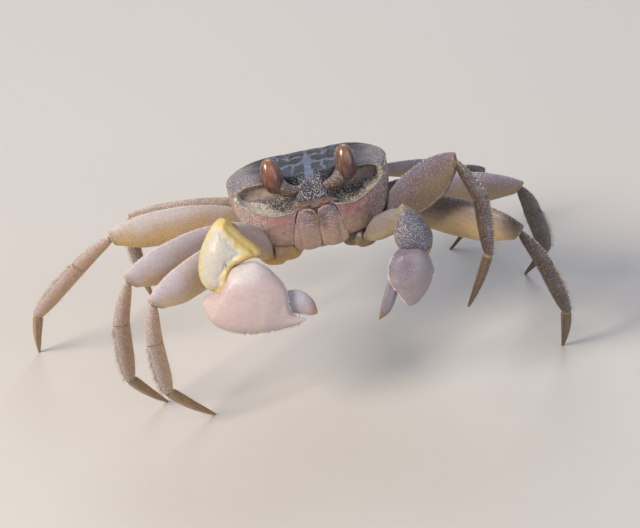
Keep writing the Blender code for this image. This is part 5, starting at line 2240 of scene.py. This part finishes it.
@dataclass(frozen=True)
class Studio:
    """Pale floor, soft lights and the camera; angles in degrees."""

    azimuth: float = -1.0
    elevation: float = 36.0
    roll: float = -6.0
    distance: float = 0.4          # m
    lens: float = 148.0            # mm
    aim: Tuple[float, float] = (0.20, 10.21)   # middle of the view, mm to the right and up
    floor_tone: str = "#c9c5c0"
    floor_reach: float = 3.0       # half width of the floor, m

    def camera(self) -> None:
        """Camera on the crab's face, a little above it and tipped to one side."""
        a, e, k = (math.radians(v) for v in (self.azimuth, self.elevation, self.roll))
        back = Vector((math.sin(a) * math.cos(e), -math.cos(a) * math.cos(e), math.sin(e)))
        right = Vector((math.cos(a), math.sin(a), 0))
        up = back.cross(right)
        target = (right * self.aim[0] + up * self.aim[1] + Vector(SHIFT)) * MM
        across = right * math.cos(k) + up * math.sin(k)
        above = up * math.cos(k) - right * math.sin(k)
        data = bpy.data.cameras.new("camera")
        data.lens, data.sensor_width, data.clip_start = self.lens, 36.0, 0.01
        camera = bpy.data.objects.new("camera", data)
        frame = Matrix((across, above, back)).transposed().to_4x4()
        frame.translation = target + back * self.distance
        camera.matrix_world = frame
        bpy.context.scene.collection.objects.link(camera)
        bpy.context.scene.camera = camera

    def lamp(self, name: str, place: Point, size: float, power: float, tone: str) -> None:
        """Square soft light that faces the crab.

        Args:
            name: name of the lamp.
            place: where it stands, m.
            size: its side, m.
            power: its power, W.
            tone: its colour, as hex.
        """
        data = bpy.data.lights.new(name, "AREA")
        data.size, data.energy, data.color = size, power, linear(tone)[:3]
        lamp = bpy.data.objects.new(name, data)
        lamp.location = place
        lamp.rotation_mode = "QUATERNION"
        lamp.rotation_quaternion = (Vector((0, 0, 0.02)) - Vector(place)).to_track_quat("-Z", "Y")
        bpy.context.scene.collection.objects.link(lamp)

    def build(self) -> None:
        """Set the floor, the lights, the world and the camera."""
        mesh = bpy.data.meshes.new("floor")
        r = self.floor_reach
        mesh.from_pydata([(-r, -r, 0), (r, -r, 0), (r, r, 0), (-r, r, 0)], [], [(0, 1, 2, 3)])
        paper = Paint("matt_paper_floor").done({"Base Color": linear(self.floor_tone), "Roughness": 0.85})
        mesh.materials.append(paper)
        floor = bpy.data.objects.new("floor", mesh)
        bpy.context.scene.collection.objects.link(floor)
        self.lamp("key", (-0.30, -0.18, 0.34), 0.16, 2.3, "#fff3e4")
        self.lamp("fill", (0.34, -0.30, 0.26), 0.4, 0.8, "#e4ebff")
        self.lamp("back", (0.05, 0.34, 0.30), 0.3, 0.9, "#eef2ff")
        world = bpy.data.worlds.new("studio")
        world.use_nodes = True
        world.node_tree.nodes["Background"].inputs["Color"].default_value = linear("#cfd4dc")
        world.node_tree.nodes["Background"].inputs["Strength"].default_value = 0.36
        bpy.context.scene.world = world
        bpy.context.scene.view_settings.view_transform = "Standard"
        self.camera()


# ==================================== assembly ====================================================

def finishes() -> Dict[str, Material]:
    """Every material of the crab by a short name.

    Returns:
        The materials.
    """
    made = {
        "carapace": CarapaceFinish(),
        "rim": PlainFinish("chalky_rim_chitin", "#e6dfcf", "#c4b798", 0.4, 0.4, 0.1, 0.03),
        "edge": PlainFinish("thin_pale_edge_chitin", "#b5ab84", "#8a7c58", 0.4, 0.4, 0.1, 0.0),
        "membrane": PlainFinish("soft_joint_membrane", "#e3cf86", "#cba64c", 0.7, 0.4, 0.3, 0.05),
        "joint": PlainFinish("dull_joint_membrane", "#a8957a", "#7d6a50", 0.7, 0.45, 0.2, 0.03),
        "granule_back": PlainFinish("slate_granule", "#a29ea6", "#6f6b76", 0.5, 0.35, 0.1, 0.0),
        "granule_right": PlainFinish("chalky_granule", "#e6dfdc", "#b9aeae", 0.5, 0.3, 0.1, 0.0),
        # the left side's granules are a darker copy of the chalky ones: painted shade
        "granule_left": PlainFinish("dusky_granule", "#a09aa2", "#77707a", 0.5, 0.3, 0.1, 0.0),
        "spine_right": PlainFinish("pale_spine_chitin", "#efe9e2", "#c9baa6", 0.5, 0.35, 0.15, 0.0),
        "tooth": PlainFinish("white_claw_tooth", "#faf7f0", "#e3dccd", 0.5, 0.25, 0.15, 0.0),
        "hair": PlainFinish("straw_bristle_chitin", "#cbb892", "#967d54", 0.8, 0.5, 0.0, 0.0),
        # The leg plates and hips of the crab's left side are darker copies of those of its right side: the
        # difference is painted shade. The second left merus has a brighter lower edge as painted light and a
        # darker crest as painted shade, and the right hip's tone is raised as painted light.
        "merus_right": LimbFinish("lilac_merus_chitin_right", "#cfc2c8", "#ccb7af", "#d8bd92"),
        "merus_right_3": LimbFinish("honey_merus_chitin_right", "#cfc4c2", "#c7af92", "#ccaa72"),
        "merus_right_4": LimbFinish("dusky_merus_chitin_right", "#a3938e", "#927c6e", "#84694b"),
        "merus_left": LimbFinish("lilac_merus_chitin_left", "#8a8090", "#8b7a74", "#988564", bold=0.2,
                                 joint="#85735c"),
        "merus_left_2": LimbFinish("olive_merus_chitin_left", "#766962", "#988570", "#b0986e", bold=0.2,
                                   joint="#85735c"),
        "merus_left_1": LimbFinish("plum_merus_chitin_left", "#706878", "#705f60", "#7a6856", bold=0.22,
                                   joint="#85735c"),
        "distal_right": LimbFinish("umber_shin_chitin_right", "#b39f9a", "#b0907c", "#bd9a70"),
        "distal_right_4": LimbFinish("dusky_shin_chitin_right", "#8f7f78", "#85705f", "#7a6046"),
        "distal_left": LimbFinish("umber_shin_chitin_left", "#5f565c", "#4a3a31", "#402f24", bold=0.2,
                                  joint="#5d4e40"),
        "toe_right": LimbFinish("clear_toe_chitin_right", "#a98e76", "#9b7d5e", "#8f7048", density=0.2),
        "toe_left": LimbFinish("clear_toe_chitin_left", "#6a5847", "#604e3c", "#5c4a30", density=0.2),
        "base_right": LimbFinish("ochre_hip_chitin_right", "#b39878", "#b08c62", "#b8924f", density=0.2),
        "base_left": LimbFinish("ochre_hip_chitin_left", "#74675e", "#716251", "#7a6747", density=0.2),
        # The left claw's finishes are darker than the right claw's, partly by their own colour and partly by
        # painted shade.
        "arm_right": LimbFinish("ochre_arm_chitin_right", "#b9a39b", "#b69a8a", "#b99a6a", density=0.5,
                                bold=0.3),
        "arm_left": LimbFinish("olive_arm_chitin_left", "#8d8384", "#8b7e72", "#95865f", density=0.3,
                               bold=0.22),
        "wrist_right": LimbFinish("cream_wrist_chitin", "#cfcabd", "#d8cd9f", "#d6bb70", glow=0.3, bold=0.5,
                                  cloudy=0.07),
        "wrist_left": LimbFinish("violet_wrist_chitin", "#6b6775", "#6f6872", "#8b8064", bold=0.45),
        "palm_right": LimbFinish("rose_palm_chitin", "#d5ccca", "#cab7bb", "#cbb7b4", density=0.35, glow=0.3,
                                 cloudy=0.06),
        "palm_left": LimbFinish("violet_palm_chitin", "#767184", "#867c8c", "#9a9096", density=0.35, bold=0.3,
                                cloudy=0.1),
        "finger_right": LimbFinish("pearl_finger_chitin", "#bcb5be", "#b3a6aa", "#b08c77", density=0.15),
        "finger_left": LimbFinish("violet_finger_chitin", "#8a818f", "#857a82", "#8b7058", density=0.15),
        "eye_right": CorneaFinish("amber_cornea", "#96664f", "#704232", "#2e160d"),
        "eye_left": CorneaFinish("umber_cornea", "#8a6853", "#5b3c31", "#23120e"),
        "stalk": LimbFinish("grey_stalk_chitin", "#6c5e58", "#644f44", "#524132", density=0.6, bold=0.3,
                            roughness=0.6),
        "mouth": LimbFinish("dusty_mouth_chitin", "#90777c", "#9a7c77", "#a48878", density=0.55, bold=0.42),
        "feeler": LimbFinish("brown_feeler_chitin", "#8a7468", "#80695e", "#6a5446", density=0.15),
        "under": LimbFinish("ivory_breast_chitin", "#b39d86", "#ab9172", "#b59a72", density=0.15),
    }
    return {key: finish.build() for key, finish in made.items()}


def slot_of(name: str) -> str:
    """The record's material slot that a piece takes its finish from.

    Args:
        name: name of the piece.

    Returns:
        Name of the slot.
    """
    for start, slot in (("carapace", "mottled_shell"), ("stalk", "mottled_shell"), ("orbit", "mottled_shell"),
                        ("cornea", "cornea"), ("leg", "leg_shell"), ("claw", "claw_shell")):
        if name.startswith(start):
            return slot
    return "pale_shell"


@dataclass(frozen=True)
class Coat:
    """How granules lie: least distance and radius in mm, a seed and the trait that says how densely."""

    spacing: float
    seed: int
    mask: str = "grain"
    radius: float = 0.055

    def values(self) -> Dict[str, object]:
        """The numbers that the granules' tree takes."""
        return {"Spacing": self.spacing * MM, "Radius": self.radius * MM, "Seed": self.seed,
                "Mask": self.mask}


LEG_COAT, BACK_COAT, SMALL_COAT = Coat(0.34, 3, radius=0.05), Coat(0.22, 5), Coat(0.26, 5)
FACE_COAT = Coat(0.21, 8, "face_grain")


@dataclass(frozen=True)
class Spikes:
    """Form of one kind of spine, tooth or hair; slenderness is its base radius over its length."""

    finish: str
    slenderness: float
    bend: float
    sides: int
    steps: int

    def values(self) -> Dict[str, object]:
        """The numbers that the spikes' tree takes."""
        return {"Slenderness": self.slenderness, "Bend": self.bend, "Sides": self.sides, "Steps": self.steps}


SPIKES = {
    "leg_spines": Spikes("spine_right", 0.32, 0.15, 6, 2),
    "rim_teeth": Spikes("rim", 0.42, 0.0, 6, 2),
    "claw_teeth": Spikes("tooth", 0.42, 0.1, 10, 3),
    "leg_bristles": Spikes("hair", 0.024, 0.25, 3, 3),
    "face_and_tail_hairs": Spikes("hair", 0.04, 0.3, 3, 3),
}


def place_frame() -> None:
    """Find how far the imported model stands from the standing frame, by its right eye."""
    global SHIFT
    low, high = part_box("eye_right")
    eye = POSE.stand(vec(-5.4, -9.95, 3.15))
    middle = (np.array(low) + np.array(high)) / 2 / MM
    SHIFT = vec(middle[0] - eye[0], middle[1] - eye[1], 0)


def granule_finish(name: str) -> str:
    """Finish of the granules that grow on a piece.

    Args:
        name: name of the piece.

    Returns:
        Short name of the finish.
    """
    if name == "carapace_shell":
        return "granule_back"
    # pieces of the crab's left side take the granule copy darkened as painted shade
    return "granule_right" if "right" in name or name.startswith("mouth") else "granule_left"


def build_crab() -> List[Obj]:
    """Every piece of the crab.

    Returns:
        The finished pieces.
    """
    skins, beds = finishes(), {name: Roots() for name in SPIKES}
    granules, spikes = granule_growth(), spike_growth()
    hairs, spines = beds["face_and_tail_hairs"], beds["leg_spines"]
    shell = Carapace(skins["carapace"], skins["rim"], skins["edge"]).build(beds["rim_teeth"])
    pieces = list(shell)
    for side in Side:
        lean = 0.07 if side is Side.RIGHT else 0.0
        pieces += Eye(side, skins[f"eye_{side.tag}"], skins["stalk"], lean).build()
        pieces += MouthParts(side, skins["mouth"], skins["feeler"], hairs).build()
        for number in LEG_PAIRS:
            patch = (0.02 + 0.2 * (number - 1), 0.02 if side is Side.RIGHT else 0.5)
            leg = Leg(number, side, skins, beds["leg_bristles"], spines, patch).build()
            # the leg granules take the finish of their side; the left one is darkened as painted shade
            coats = [grown("leg_granules", base, granules, skins[f"granule_{side.tag}"], LEG_COAT.values())
                     for base in leg[1:4]]
            pieces += leg + [joined(f"leg_{number}_{side.tag}_granules", coats)]
    underside = Underside(skins["under"], hairs)
    pieces += [underside.breast(), underside.tail()]
    granular = [shell[0]]
    for sizes in (right_claw(), left_claw()):
        claw = Claw(finishes=skins, spines=spines, teeth=beds["claw_teeth"], **sizes).build()
        pieces += claw
        granular += claw[1:4]
    granular += [piece for piece in pieces if piece.name.startswith("mouth_door")]
    for base in granular:
        coat = BACK_COAT if base is shell[0] else SMALL_COAT
        pieces.append(grown(f"{base.name}_granules", base, granules, skins[granule_finish(base.name)],
                            coat.values()))
    pieces.append(grown("face_granules", shell[0], granules, skins["granule_back"], FACE_COAT.values()))
    for name, form in SPIKES.items():
        pieces.append(grown_from_roots(name, beds[name], spikes, skins[form.finish], form.values()))
        log.info("%s: %d roots", name, beds[name].count())
    return pieces


def main() -> None:
    """Build the crab piece by piece and stand it in the studio."""
    logging.basicConfig(level=logging.INFO, format="%(message)s")
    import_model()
    place_frame()
    pieces = build_crab()
    total = 0
    for piece in pieces:
        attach(piece, "root")
        slot_of(piece.name)
        count = sum(len(p.vertices) - 2 for p in piece.data.polygons)
        total += count
        log.info("%s: %d triangles", piece.name, count)
    log.info("%d pieces, %d triangles", len(pieces), total)
    Studio().build()


if __name__ == "__main__":
    main()
